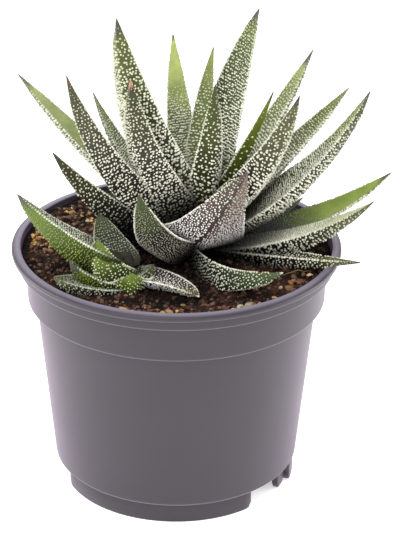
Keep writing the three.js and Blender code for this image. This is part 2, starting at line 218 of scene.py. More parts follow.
def make_piece(name, points, faces, materials, face_material=None, tint=None, smooth=True):
    """One object from points in millimetres and a list of face arrays. tint is a linear colour for each
    point, kept on the mesh for its material to read."""
    mesh = bpy.data.meshes.new(name)
    mesh.vertices.add(len(points))
    mesh.vertices.foreach_set("co", metres(points).astype(np.float32).ravel())
    sizes = np.concatenate([np.full(len(f), f.shape[1]) for f in faces])
    corners = np.concatenate([f.ravel() for f in faces])
    mesh.loops.add(len(corners))
    mesh.polygons.add(len(sizes))
    mesh.polygons.foreach_set("loop_start", np.cumsum(sizes) - sizes)
    mesh.polygons.foreach_set("vertices", corners)
    for material in materials:
        mesh.materials.append(material)
    if face_material is not None:
        mesh.polygons.foreach_set("material_index", face_material)
    mesh.update(calc_edges=True)
    mesh.polygons.foreach_set("use_smooth", np.full(len(sizes), smooth))
    if tint is not None:
        layer = mesh.attributes.new("tint", "FLOAT_COLOR", "POINT")
        with_alpha = np.column_stack([tint, np.ones(len(tint))])
        layer.data.foreach_set("color", with_alpha.astype(np.float32).ravel())
    piece = bpy.data.objects.new(name, mesh)
    bpy.context.scene.collection.objects.link(piece)
    return piece


print("quads in a skin of 3 rows by 4:", len(skin_faces(3, 4)))

# %% [markdown]
# A few small formulas serve the plant and the pot: circles, bends set by three points, soft steps and
# blends. Each takes whole arrays, so that one call shapes a whole surface.

# %% Circles, curves and blends
def circle(count):
    """(cos a, sin a) at even angles round one full turn."""
    angle = np.linspace(0, 2 * np.pi, count, endpoint=False)
    return np.stack([np.cos(angle), np.sin(angle)], -1)


def curve(a, b, c, t):
    """(1-t)^2 a + 2 t (1-t) b + t^2 c: a bend from a to c that b pulls aside."""
    return (1 - t) ** 2 * a + 2 * t * (1 - t) * b + t**2 * c


def unit(vectors):
    """Each vector over its own length."""
    return vectors / np.linalg.norm(vectors, axis=-1, keepdims=True)


def smooth_step(low, high, value):
    """0 below low, 1 above high, and 3 t^2 - 2 t^3 between them."""
    t = np.clip((value - low) / (high - low), 0, 1)
    return t * t * (3 - 2 * t)


def mix(a, b, share):
    """a (1 - share) + b share, for colours with one share a point."""
    share = np.asarray(share)[..., None]
    return a * (1 - share) + b * share


print("halfway along a curve:", curve(0.0, 1.0, 0.0, 0.5))

# %% [markdown]
# ## Roughness that repeats
# Soil, skin and dried tips are uneven, but the same script has to give the same object each time. Value
# noise does that: a seeded number at each corner of a lattice, blended smoothly between the corners.
# Blender's own mathutils.noise would do as well, but it takes one point at a time.

# %% Value noise
def lattice(corner, seed):
    """A number from 0 to 1 for each whole-number corner, from the last bits of a product of large primes."""
    x, y, z = (corner[..., i].astype(np.int64) for i in range(3))
    mixed = (x * 73856093) ^ (y * 19349663) ^ (z * 83492791) ^ (seed * 2654435761)
    mixed = (mixed ^ (mixed >> 13)) * 1274126177
    return ((mixed ^ (mixed >> 16)) & 0xFFFF) / 65535.0


def noise(points, cell, seed):
    """Value noise from -1 to 1 with lumps one cell wide: corner values blended by smooth steps."""
    p = np.asarray(points) / cell
    base = np.floor(p).astype(np.int64)
    t = smooth_step(0, 1, p - base)
    total = np.zeros(p.shape[:-1])
    for corner in itertools.product((0, 1), repeat=3):
        weight = np.prod(np.where(corner, t, 1 - t), axis=-1)
        total += weight * lattice(base + corner, seed)
    return 2 * total - 1


def rough(points, cell, seed, octaves):
    """Noise in octaves: each has half the cell and half the height of the one before."""
    return sum(noise(points, cell / 2**k, seed + k) / 2**k for k in range(octaves))


print("noise at three points:", noise(np.random.default_rng(1).random((3, 3)) * 50, 3, 1).round(1))

# %% [markdown]
# ## Skin, tubercles, plastic and peat
# Haworthia skin is a waxy cuticle over juicy tissue: satin, with light going a little way in. The
# tubercles are small hard lumps of the same skin whose cells hold air, so they look chalk white and dry.
# Both read their colour from the mesh, because it changes from root to tip and from face to face. A mask
# for each leaf would do that too, but this way one material serves every leaf.

# %% Materials of the plant and the soil
SCATTER_REACH = 1.5  # mm that light goes into the skin
RELIEF = 0.6  # strength of the grain's relief


def tinted(name, roughness, specular, grain_mm, grain_strength, grain_depth_mm, scatter):
    """A surface whose colour is the mesh's tint times 1 - strength to 1 + strength, by its grain."""
    material, tree = new_material(name)
    place = add_node(tree, "ShaderNodeTexCoord")
    tint = add_node(tree, "ShaderNodeAttribute", {"attribute_name": "tint"})
    grain = add_node(tree, "ShaderNodeTexNoise", None, {
        "Vector": place.outputs["Object"], "Scale": 1 / (grain_mm * MM), "Detail": 3.0})
    shade = add_node(tree, "ShaderNodeMapRange", None, {
        "Value": grain.outputs["Fac"], "To Min": 1 - grain_strength, "To Max": 1 + grain_strength})
    colour = add_node(tree, "ShaderNodeVectorMath", {"operation": "SCALE"}, {
        "Vector": tint.outputs["Color"], "Scale": shade.outputs["Result"]})
    bump = add_node(tree, "ShaderNodeBump", None, {
        "Height": grain.outputs["Fac"], "Distance": grain_depth_mm * MM, "Strength": RELIEF})
    shader = add_node(tree, "ShaderNodeBsdfPrincipled", None, {
        "Base Color": colour.outputs["Vector"], "Normal": bump.outputs["Normal"], "Roughness": roughness,
        "Specular IOR Level": specular, "Subsurface Weight": scatter, "Subsurface Scale": SCATTER_REACH * MM})
    add_node(tree, "ShaderNodeOutputMaterial", None, {"Surface": shader.outputs["BSDF"]})
    return material


# Each row: name, roughness, specular level, the grain's width, strength and depth, and the light's scatter.
tinted_materials = [tinted(*row) for row in (
    # Waxy cuticle: satin, with a faint grain of cells.
    ("haworthia skin, waxy cuticle", 0.5, 0.25, 1.1, 0.22, 0.08, 0.08),
    # Tubercles: chalk white and dry, with only the finest grain.
    ("haworthia tubercles, chalky", 0.62, 0.25, 0.5, 0.08, 0.03, 0.0),
    # Peat: loose crumbs of decayed moss and bark, quite matt.
    ("peat mix, dry crumbs", 0.95, 0.15, 0.7, 0.45, 0.25, 0.0),
    # Bark and pumice chips: broken faces with grain, a little less matt than peat.
    ("bark and pumice chips, broken", 0.85, 0.2, 0.9, 0.3, 0.2, 0.0),
    # Dry leaf fibre: like straw.
    ("dry leaf fibre", 0.7, 0.3, 0.8, 0.2, 0.05, 0.0))]
leaf_skin, tubercle_white, peat_mix, chip_mix, dry_fibre = tinted_materials
print("materials:", [material.name for material in tinted_materials])

# %% [markdown]
# The pot is polypropylene, injection moulded in a taupe grey. Its skin is satin: the mould's fine texture
# blurs every reflection, and the white surroundings wash the sides where the eye meets it at a low angle.
# Handling leaves faint scuffs. The rim bead's top and the outer edges get painted highlights, where they
# catch the light; those edges are rings, so one colour ramp over the height can draw them all.

# %% Material of the pot
TAUPE_DARK, TAUPE_LIGHT, TAUPE_HIGHLIGHT, TAUPE_SHEEN = map(rgba, ("#231d25", "#312a33", "#9994a6", "#e8c0ee"))
CLOUD_WIDTH, TEXTURE_WIDTH, TEXTURE_DEPTH = 28.0, 0.5, 0.02  # mm
SCUFFED = (0.34, 0.5)  # roughness, from one end of the clouds to the other
# Painted highlights on the edges: height, reach up and down, both in mm, and strength. Lowest first.
PAINTED_HIGHLIGHT_RINGS = ((8.6, 0.5, 0.32), (73.2, 0.9, 0.34), (87.0, 0.9, 0.32), (91.5, 0.4, 0.24), (94.0, 0.4, 1.0))
RAMP_TOP = 100.0  # mm, where the ramp that holds these marks ends


def painted_highlights(tree, place):
    """How strong the painted highlight is, from 0 to 1, by the height of a place on the pot."""
    height = add_node(tree, "ShaderNodeSeparateXYZ", None, {"Vector": place})
    share = add_node(tree, "ShaderNodeMapRange", None, {
        "Value": height.outputs["Z"], "From Max": RAMP_TOP * MM})
    highlight_ramp = add_node(tree, "ShaderNodeValToRGB", None, {"Fac": share.outputs["Result"]})
    ramp = highlight_ramp.color_ramp.elements
    ramp[0].color = ramp[1].color = (0, 0, 0, 1)
    for level, reach, strength in PAINTED_HIGHLIGHT_RINGS:
        for offset, value in ((-reach, 0), (0, strength), (reach, 0)):
            ramp.new((level + offset) / RAMP_TOP).color = (value, value, value, 1)
    return highlight_ramp.outputs["Color"]


def moulded_plastic(name):
    """Taupe polypropylene: mould texture half a millimetre wide, and cloudy scuffs some centimetres wide."""
    material, tree = new_material(name)
    place = add_node(tree, "ShaderNodeTexCoord").outputs["Object"]
    clouds = add_node(tree, "ShaderNodeTexNoise", None, {
        "Vector": place, "Scale": 1 / (CLOUD_WIDTH * MM), "Detail": 5.0, "Roughness": 0.55})
    colour = add_node(tree, "ShaderNodeMix", {"data_type": "RGBA"}, {
        "Factor": clouds.outputs["Fac"], "A": TAUPE_DARK, "B": TAUPE_LIGHT})
    # Painted highlights: the rim bead's top and the outer edges are mixed towards a pale taupe, by height.
    highlighted = add_node(tree, "ShaderNodeMix", {"data_type": "RGBA"}, {
        "Factor": painted_highlights(tree, place), "A": colour.outputs["Result"], "B": TAUPE_HIGHLIGHT})
    scuffs = add_node(tree, "ShaderNodeMapRange", None, {
        "Value": clouds.outputs["Fac"], "To Min": SCUFFED[0], "To Max": SCUFFED[1]})
    texture = add_node(tree, "ShaderNodeTexNoise", None, {
        "Vector": place, "Scale": 1 / (TEXTURE_WIDTH * MM), "Detail": 2.0})
    bump = add_node(tree, "ShaderNodeBump", None, {
        "Height": texture.outputs["Fac"], "Distance": TEXTURE_DEPTH * MM, "Strength": 0.5})
    shader = add_node(tree, "ShaderNodeBsdfPrincipled", None, {
        "Base Color": highlighted.outputs["Result"], "Roughness": scuffs.outputs["Result"],
        "Normal": bump.outputs["Normal"], "IOR": 1.49, "Specular IOR Level": 0.5,
        "Sheen Weight": 0.255, "Sheen Roughness": 0.4, "Sheen Tint": TAUPE_SHEEN})
    add_node(tree, "ShaderNodeOutputMaterial", None, {"Surface": shader.outputs["BSDF"]})
    return material


pot_plastic = moulded_plastic("polypropylene, injection moulded, taupe")
print("pot material:", pot_plastic.name)

# %% [markdown]
# ## The pot
# A nursery pot is moulded thin: a rim bead that stiffens the mouth, a short skirt and a set-in band where
# stacked pots rest on each other, a plain tapered wall, and a foot that is broken by gaps for the water.
# All of it but the foot is one turned profile. The mould leaves no sharp edge, so each corner of the
# profile is rounded before it is turned. The thin light lines of the photo are those rounded edges, made
# brighter by painted highlights in the plastic's colour.
# The Screw and Bevel modifiers could do both, but here each corner has a rounding of its own.

# %% Pot: a rounded profile, turned about its axis
POT_HEIGHT = 94.0
RIM_RADIUS, RIM_DEPTH = 60.6, 2.6
SKIRT_RADIUS, SKIRT_BOTTOM = 58.3, 86.8
BAND_RADIUS, BAND_FLARE, BAND_BOTTOM = 54.9, 0.5, 73.0
WALL_TOP_RADIUS, WALL_BOTTOM_RADIUS, WALL_BOTTOM = 51.9, 45.6, 10.6
SEAM_RADIUS, SEAM_HEIGHT = 44.4, 7.8
FOOT_RADIUS, FOOT_THICKNESS = 42.7, 2.0
WALL, FLOOR_TOP = 1.2, 9.6
POT_SIDES = 192
# Each corner, up the outside and down the inside: radius, height, and the length of its rounding, in mm.
POT_PROFILE = [
    (0.6, SEAM_HEIGHT, 0.0), (SEAM_RADIUS - 0.6, SEAM_HEIGHT, 0.3), (SEAM_RADIUS, SEAM_HEIGHT + 0.3, 0.3),
    (WALL_BOTTOM_RADIUS - 0.2, SEAM_HEIGHT + 1.2, 0.5), (WALL_BOTTOM_RADIUS, WALL_BOTTOM, 0.8),
    (WALL_TOP_RADIUS, BAND_BOTTOM, 0.5), (BAND_RADIUS, BAND_BOTTOM + 0.4, 0.5),
    (BAND_RADIUS + BAND_FLARE, SKIRT_BOTTOM, 0.5), (SKIRT_RADIUS, SKIRT_BOTTOM + 0.4, 0.5),
    (SKIRT_RADIUS, POT_HEIGHT - RIM_DEPTH, 0.4), (RIM_RADIUS - 0.2, POT_HEIGHT - RIM_DEPTH, 0.6),
    (RIM_RADIUS, POT_HEIGHT - 0.8, 0.8), (SKIRT_RADIUS - WALL + 0.9, POT_HEIGHT, 0.8),
    (SKIRT_RADIUS - WALL, POT_HEIGHT - 0.3, 0.3), (SKIRT_RADIUS - WALL, SKIRT_BOTTOM + WALL, 0.4),
    (BAND_RADIUS + BAND_FLARE - WALL, SKIRT_BOTTOM + 0.8, 0.4), (BAND_RADIUS - WALL, BAND_BOTTOM + WALL, 0.4),
    (WALL_TOP_RADIUS - WALL, BAND_BOTTOM + 0.8, 0.4), (WALL_BOTTOM_RADIUS - WALL, FLOOR_TOP + 1.0, 0.8),
    (WALL_BOTTOM_RADIUS - WALL - 1.2, FLOOR_TOP, 0.5), (0.6, FLOOR_TOP, 0.0),
]
ROUNDING_STEPS = 5
PROFILE_GUARD = 0.3


def rounded(corners, steps):
    """A profile with each corner replaced by a curve from a to b, which the corner pulls aside. a and b
    lie the rounding's length before and after it."""
    places = np.array([c[:2] for c in corners])
    t = np.linspace(0, 1, steps)[:, None]
    line = [places[:1]]
    for before, here, after, size in zip(places, places[1:], places[2:], [c[2] for c in corners[1:-1]]):
        line.append(curve(here + unit(before - here) * size, here, here + unit(after - here) * size, t))
    return np.concatenate([*line, places[-1:]])


def guarded(line, guard):
    """Adds a point close to both ends of each long stretch, so that smooth shading turns only in the
    roundings and leaves the long stretches even: points at guard and at length - guard."""
    step = np.diff(line, axis=0)
    length = np.linalg.norm(step, axis=1, keepdims=True)
    share = np.where(length > 3 * guard, guard / np.maximum(length, guard), np.nan)
    near_start, near_end = line[:-1] + step * share, line[:-1] + step * (1 - share)
    every = np.stack([line[:-1], near_start, near_end], 1).reshape(-1, 2)
    return np.concatenate([every[~np.isnan(every[:, 0])], line[-1:]])


def turned(name, profile, sides, materials):
    """Point = (r cos a, r sin a, z), with a point on the axis at both ends of the profile."""
    rings = profile[:, 0, None, None] * circle(sides)
    heights = np.broadcast_to(profile[:, 1, None, None], (len(profile), sides, 1))
    ends = [[0, 0, profile[0, 1]], [0, 0, profile[-1, 1]]]
    return make_piece(name, *close_skins([(np.concatenate([rings, heights], -1), ends)]), materials)


pot_line = guarded(rounded(POT_PROFILE, ROUNDING_STEPS), PROFILE_GUARD)
pot = turned("nursery_pot", pot_line, POT_SIDES, [pot_plastic])
print("pot faces:", len(pot.data.polygons))

# %% [markdown]
# The foot is a ring under the floor, broken by three gaps. Its front third is set in from the wall, and
# the rest runs out nearly flush. Each stretch is a closed bar that is bent round the axis. The drain
# holes are cut through the floor with a Boolean, because they are drilled that way: six plain round holes.

# %% Foot and drain holes
FOOT_INNER = FOOT_RADIUS - FOOT_THICKNESS
FLUSH_RADIUS, BAR_TOP = 44.6, 8.4
# From and to, in degrees, and the outer radius.
FOOT_BARS = (
    (-158, -49, FOOT_RADIUS), (-27, -17, FOOT_RADIUS), (-17, 78, FLUSH_RADIUS), (97, 168, FLUSH_RADIUS))
BAR_STEP, BAR_CORNER, BAR_ROUNDING_STEPS = 1.5, 2.6, 3
DRAIN_HOLES, DRAIN_RADIUS, DRAIN_CIRCLE, DRAIN_SIDES = 6, 4.0, 27.0, 32
DRILL_PAST = 1  # mm that the drill goes past the floor's two faces


def foot_bar(start, end, outer):
    """A bar with a rounded section, carried round the axis from one angle to the other. Its lower edge
    rises at both ends by corner (1 - sqrt(1 - (1 - d / corner)^2)), where d is the way to the end."""
    corners = [(FOOT_INNER, BAR_TOP / 2, 0), (FOOT_INNER, 0, 0.4), (outer, 0, 0.5), (outer, BAR_TOP, 0.2),
               (FOOT_INNER, BAR_TOP, 0.2), (FOOT_INNER, BAR_TOP / 2, 0)]
    section = rounded(corners, BAR_ROUNDING_STEPS)[:-1]
    angle = np.radians(np.linspace(start, end, max(3, round(abs(end - start) / BAR_STEP))))
    to_end = outer * np.minimum(angle - angle.min(), angle.max() - angle)
    missing = 1 - np.minimum(1, to_end / BAR_CORNER)
    lift = BAR_CORNER * (1 - np.sqrt(1 - missing**2))
    points = np.stack([
        section[:, 0] * np.cos(angle)[:, None], section[:, 0] * np.sin(angle)[:, None],
        np.maximum(section[:, 1], lift[:, None])], -1)
    return points, points[[0, -1]].mean(1)


def drill(piece, low, high):
    """Cuts the drain holes down through a piece and keeps the result as its mesh."""
    rim, pegs = DRAIN_RADIUS * circle(DRAIN_SIDES), []
    for centre in DRAIN_CIRCLE * circle(DRAIN_HOLES):
        rings = np.stack([np.column_stack([rim + centre, np.full(DRAIN_SIDES, z)]) for z in (low, high)])
        pegs.append((rings, [[*centre, low], [*centre, high]]))
    cutter = make_piece("drill", *close_skins(pegs), [])
    cut = piece.modifiers.new("drain holes", "BOOLEAN")
    cut.object, cut.operation, cut.solver = cutter, "DIFFERENCE", "EXACT"
    evaluated = piece.evaluated_get(bpy.context.evaluated_depsgraph_get())
    drilled = bpy.data.meshes.new_from_object(evaluated)
    piece.modifiers.clear()
    piece.data = drilled
    bpy.data.objects.remove(cutter)


drill(pot, SEAM_HEIGHT - DRILL_PAST, FLOOR_TOP + DRILL_PAST)
foot_skins = [foot_bar(*bar) for bar in FOOT_BARS]
pot_foot = make_piece("pot_foot", *close_skins(foot_skins, flip=True), [pot_plastic])
for piece in (pot, pot_foot):
    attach(piece, "root")
    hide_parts("pot")
print("pot faces after drilling:", len(pot.data.polygons), "foot faces:", len(pot_foot.data.polygons))

# %% [markdown]
# ## The soil
# Dry potting mix is a crust of crumbs: peat in lumps of about a millimetre, flat chips of bark, and grains
# of pale pumice. One rough skin carries them all, from the crust down the inside of the pot to its floor.
# A displaced disc would do for the crust, but it would end at the wall in an open edge. On the skin lie
# loose crumbs and chips, each a small broken polyhedron sunk a little way in.

# %% Soil: a rough crust over a plug
SOIL_TOP, SOIL_FALL_X, SOIL_RISE_Y = 90.5, 0.02, 0.015
SOIL_EDGE = 56.7
# The crust's lumps and its grit: height and width in mm, and the seed.
SOIL_RELIEF = ((0.9, 9.0, 11), (0.55, 1.9, 23))
CRUST_RINGS, CRUST_SIDES, RING_CROWDING = 90, 260, 0.8
# Below the crust, radius and height of each ring down the plug.
PLUG_STEPS = np.array([(56.7, 88.3), (53.6, 87.9), (53.1, 75.1), (49.4, 74.7), (43.8, 11.8), (42.6, 9.95)])
# Painted shade on the soil: how dark, how far from the wall, and each plant's: x, y, and radii in mm.
DARKEST_SOIL_SHADE, WALL_SHADE_REACH = 0.3, 3.5
SHADED = ((4.0, -4.0, 14.0, 34.0), (-9.0, -25.0, 7.0, 17.0), (0.0, -30.0, 9.0, 19.0))
PEAT_DARK, PEAT_BROWN, PEAT_RED = palette("#120c09 #2e1c15 #4c2a1e")


def crust_height(x, y):
    """Soil level: a plane that falls to +X and rises to +Y, plus lumps 9 mm wide and grit 1.9 mm wide."""
    flat = np.stack([x, y, np.zeros_like(x)], -1)
    level = SOIL_TOP - SOIL_FALL_X * x + SOIL_RISE_Y * y
    for tall, wide, seed in SOIL_RELIEF:
        level = level + tall * rough(flat, wide, seed, 3)
    return level


def painted_soil_shade(points):
    """Painted shade on the soil by the wall and under the plants: darkest + (1 - darkest) step(distance)
    for the wall, times the same for the plant that shades it most."""
    x, y = points[:, 0], points[:, 1]
    parts = [smooth_step(near, far, np.hypot(x - x0, y - y0)) for x0, y0, near, far in SHADED]
    wall = smooth_step(0, WALL_SHADE_REACH, SOIL_EDGE - np.hypot(x, y))
    return (DARKEST_SOIL_SHADE + (1 - DARKEST_SOIL_SHADE) * wall) * (DARKEST_SOIL_SHADE + (1 - DARKEST_SOIL_SHADE) * np.minimum.reduce(parts))


def soil_skin():
    """Rings from the middle to the wall, radius = edge * (k / rings) ^ crowding, then down the plug."""
    radius = SOIL_EDGE * (np.arange(1, CRUST_RINGS + 1) / CRUST_RINGS) ** RING_CROWDING
    x, y = np.append(radius, PLUG_STEPS[:, 0])[:, None] * circle(CRUST_SIDES).T[:, None]
    crust = crust_height(x[:CRUST_RINGS], y[:CRUST_RINGS])
    z = np.concatenate([crust, np.repeat(PLUG_STEPS[:, 1:], CRUST_SIDES, 1)])
    ends = [[0, 0, SOIL_TOP], [0, 0, PLUG_STEPS[-1, 1]]]
    points, faces = close_skins([(np.stack([x, y, z], -1), ends)], flip=True)
    # Dry patches 6 mm wide, with red grains 2.2 mm wide in them.
    dry = smooth_step(-0.5, 0.6, rough(points, 6.0, 31, 3))
    red = smooth_step(-0.2, 0.8, noise(points, 2.2, 37))
    # The crust is darkened by the painted shade of the wall and the plants.
    tint = mix(PEAT_DARK, mix(PEAT_BROWN, PEAT_RED, red), dry) * painted_soil_shade(points)[:, None]
    return make_piece("soil_crust", points, faces, [peat_mix], tint=tint)


soil_crust = soil_skin()
print("crust faces:", len(soil_crust.data.polygons))

# %% [markdown]
# A crumb is a small polyhedron with twelve corners, each pushed in or out by chance, so no two look alike
# once they are stretched and turned. Bark is the same polyhedron pressed flat and long; pumice is rounder
# and pale. The photo shows most of the pale chips at the left and right edges, where they have rolled, and
# a few larger ones along the front wall. A particle system could strew them, but it would copy one shape
# or a few, and these are all broken in their own way.

# %% Crumbs, bark and pumice
GOLDEN = (1 + math.sqrt(5)) / 2
BALL = np.array([(s, t * GOLDEN, 0) for s in (-1, 1) for t in (-1, 1)]) / math.hypot(1, GOLDEN)
BALL = np.concatenate([BALL, BALL[:, [2, 0, 1]], BALL[:, [1, 2, 0]]])
LONGEST_EDGE = 1.1  # corners nearer than this are neighbours, and three neighbours make a face
triples = np.array(list(itertools.combinations(range(len(BALL)), 3)))
edges = np.linalg.norm(BALL[triples] - BALL[np.roll(triples, 1, axis=1)], axis=2)
triples = triples[(edges < LONGEST_EDGE).all(1)]
a, b, c = BALL[triples].transpose(1, 0, 2)
inward = np.einsum("ij,ij->i", np.cross(b - a, c - a), a) < 0
BALL_FACES = np.where(inward[:, None], triples[:, ::-1], triples)
# How length, width and thickness of a bit vary, how rare large bits are, how far bits lean in radians, how
# much of their thickness is sunk, and how their light varies.
BIT_SPREAD = ((0.9, 1.5), (0.7, 1.1), (0.8, 1.3))
BIT_RARITY, BIT_LEAN, BIT_SUNK, BIT_SHADES = 1.6, 0.6, 0.3, (0.7, 1.25)


def turns(rng, count, lean_limit):
    """Random frames: Rz(a) Rx(b), a turn by any angle after a lean of up to the limit."""
    spin, lean = rng.uniform(0, 2 * np.pi, count), rng.uniform(-lean_limit, lean_limit, count)
    ca, sa, cb, sb = np.cos(spin), np.sin(spin), np.cos(lean), np.sin(lean)
    return np.array([[ca, -sa * cb, sa * sb], [sa, ca * cb, -ca * sb], [0 * ca, sb, cb]]).transpose(2, 0, 1)


def scatter(name, rng, spots, size, flatness, colours, material, jag=0.28):
    """Broken bits on the crust. size is (smallest, largest) radius in mm with many small ones:
    r = low (high / low) ^ (u ^ rarity); flatness is thickness over width; each corner moves by jag."""
    count = len(spots)
    radius = size[0] * (size[1] / size[0]) ** (rng.random(count) ** BIT_RARITY)
    spread = np.stack([rng.uniform(*span, count) for span in BIT_SPREAD], -1)
    sizes = radius[:, None] * (spread * [1, 1, flatness])
    height = crust_height(spots[:, 0], spots[:, 1]) + sizes[:, 2] * (1 - 2 * BIT_SUNK)
    places = np.column_stack([spots, height])
    points, faces = copies(BALL, [BALL_FACES], places, turns(rng, count, BIT_LEAN), sizes)
    away = points.reshape(count, len(BALL), 3) - places[:, None]
    points = (places[:, None] + away * (1 + jag * rng.uniform(-1, 1, (count, len(BALL), 1)))).reshape(-1, 3)
    tones = palette(colours)
    tint = tones[rng.integers(0, len(tones), count)] * rng.uniform(*BIT_SHADES, (count, 1))
    # Bits take the same painted shade as the crust under them.
    tint = np.repeat(tint * painted_soil_shade(spots)[:, None], len(BALL), 0)
    return make_piece(name, points, faces, [material], tint=tint, smooth=False)


def in_disc(rng, count, radius):
    """Even spots in a disc: r = sqrt(u radius^2)."""
    r = np.sqrt(rng.random(count) * radius**2)
    turn = rng.uniform(0, 2 * np.pi, count)
    return np.stack([r * np.cos(turn), r * np.sin(turn)], -1)


# Where pale chips have gathered: x, y and width of each cluster in mm, and how many chips it has.
EDGE_CLUSTERS = np.array([
    (-51, 8, 6, 44), (-48, 1, 6, 22), (-40, 30, 4, 22), (-32, 22, 4, 14), (-10, -46, 3, 3), (2, -48, 4, 4),
    (22, -46, 5, 5), (42, -27, 5, 6), (45, 18, 5, 10)], float)
FRONT_CHIPS = np.array([
    (-16.0, -49.0), (-13.5, -50.5), (-18.5, -48.5), (-5, -51.5), (-2.5, -51), (20, -47.5), (22.5, -46),
    (24.5, -46.5), (27, -44.5), (29.5, -43), (25.5, -44), (35, -37), (40, -31)], float)
BARK_JAG = 0.35
PUMICE_EDGE = 54.0
rng = np.random.default_rng(41)
crumbs = scatter("soil_crumbs", rng, in_disc(rng, 5200, 55.4), (0.36, 1.0), 0.75,
                 "#2b211c #443229 #5b4337 #33271f #72574a", peat_mix)
bark = scatter("bark_chips", rng, in_disc(rng, 190, 53.5), (0.7, 1.9), 0.42,
               "#543629 #6b4635 #3b2720 #805a43 #59392c", chip_mix, BARK_JAG)
pale = np.concatenate([c[:2] + rng.normal(0, c[2] / 2, (int(c[3]), 2)) for c in EDGE_CLUSTERS])
pale = pale[np.hypot(pale[:, 0], pale[:, 1]) < PUMICE_EDGE]
pale = np.concatenate([pale, in_disc(rng, 60, PUMICE_EDGE)])
pumice = scatter("pumice_grains", rng, pale, (0.45, 1.25), 0.7,
                 "#9c7644 #b58e58 #86603a #ccb184 #7a5434", chip_mix)
front_chips = scatter("front_chips", rng, FRONT_CHIPS, (1.3, 2.6), 0.5,
                      "#a5835a #7d5a40 #8f7454 #a89a80", chip_mix, BARK_JAG)
for piece in (soil_crust, crumbs, bark, pumice, front_chips):
    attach(piece, "root")
    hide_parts("soil")
print("crumbs, bark, pumice faces:", [len(p.data.polygons) for p in (crumbs, bark, pumice, front_chips)])

# %% [markdown]
# ## The leaves
# A haworthia leaf is a stiff blade: broad where it clasps the stem, then a long taper to a hard point.
# Its inner face is a shallow hollow, its outer face a rounded keel. It could be sculpted, one leaf after
# another. Here each one is a closed skin carried along a midrib with one bend, because one formula then
# gives them all, and the same nine numbers that place a leaf's solid place it here.

# %% The leaf's form
STANDS = {"leaf": (6.5, 2.0, 4.2), "pup": (-18.0, -25.0, 2.8)}  # x, y and radius of each stem, mm
ROOT_IN_STEM, ROOT_WIDTH, SHOULDER, TAPER = 0.4, 0.7, 0.25, 1.7  # shares, but for the taper's power
TIP_WIDTH, TIP_THICKNESS, TIP_POINT = 0.5, 0.4, 0.35  # mm
WAVE, WAVE_LENGTH = 0.03, 7.0  # how the width varies: share, and length in mm
# The solids carry coarse bumps. The skin here lies at their middle height, full where the leaf is wide.
SWELL, SWELL_WIDTH = 0.65, 2.2
HOLLOW, KEEL_POWER = 0.16, 0.75
LEAF_ROWS, OUTER_COLUMNS, INNER_COLUMNS = 50, 16, 10
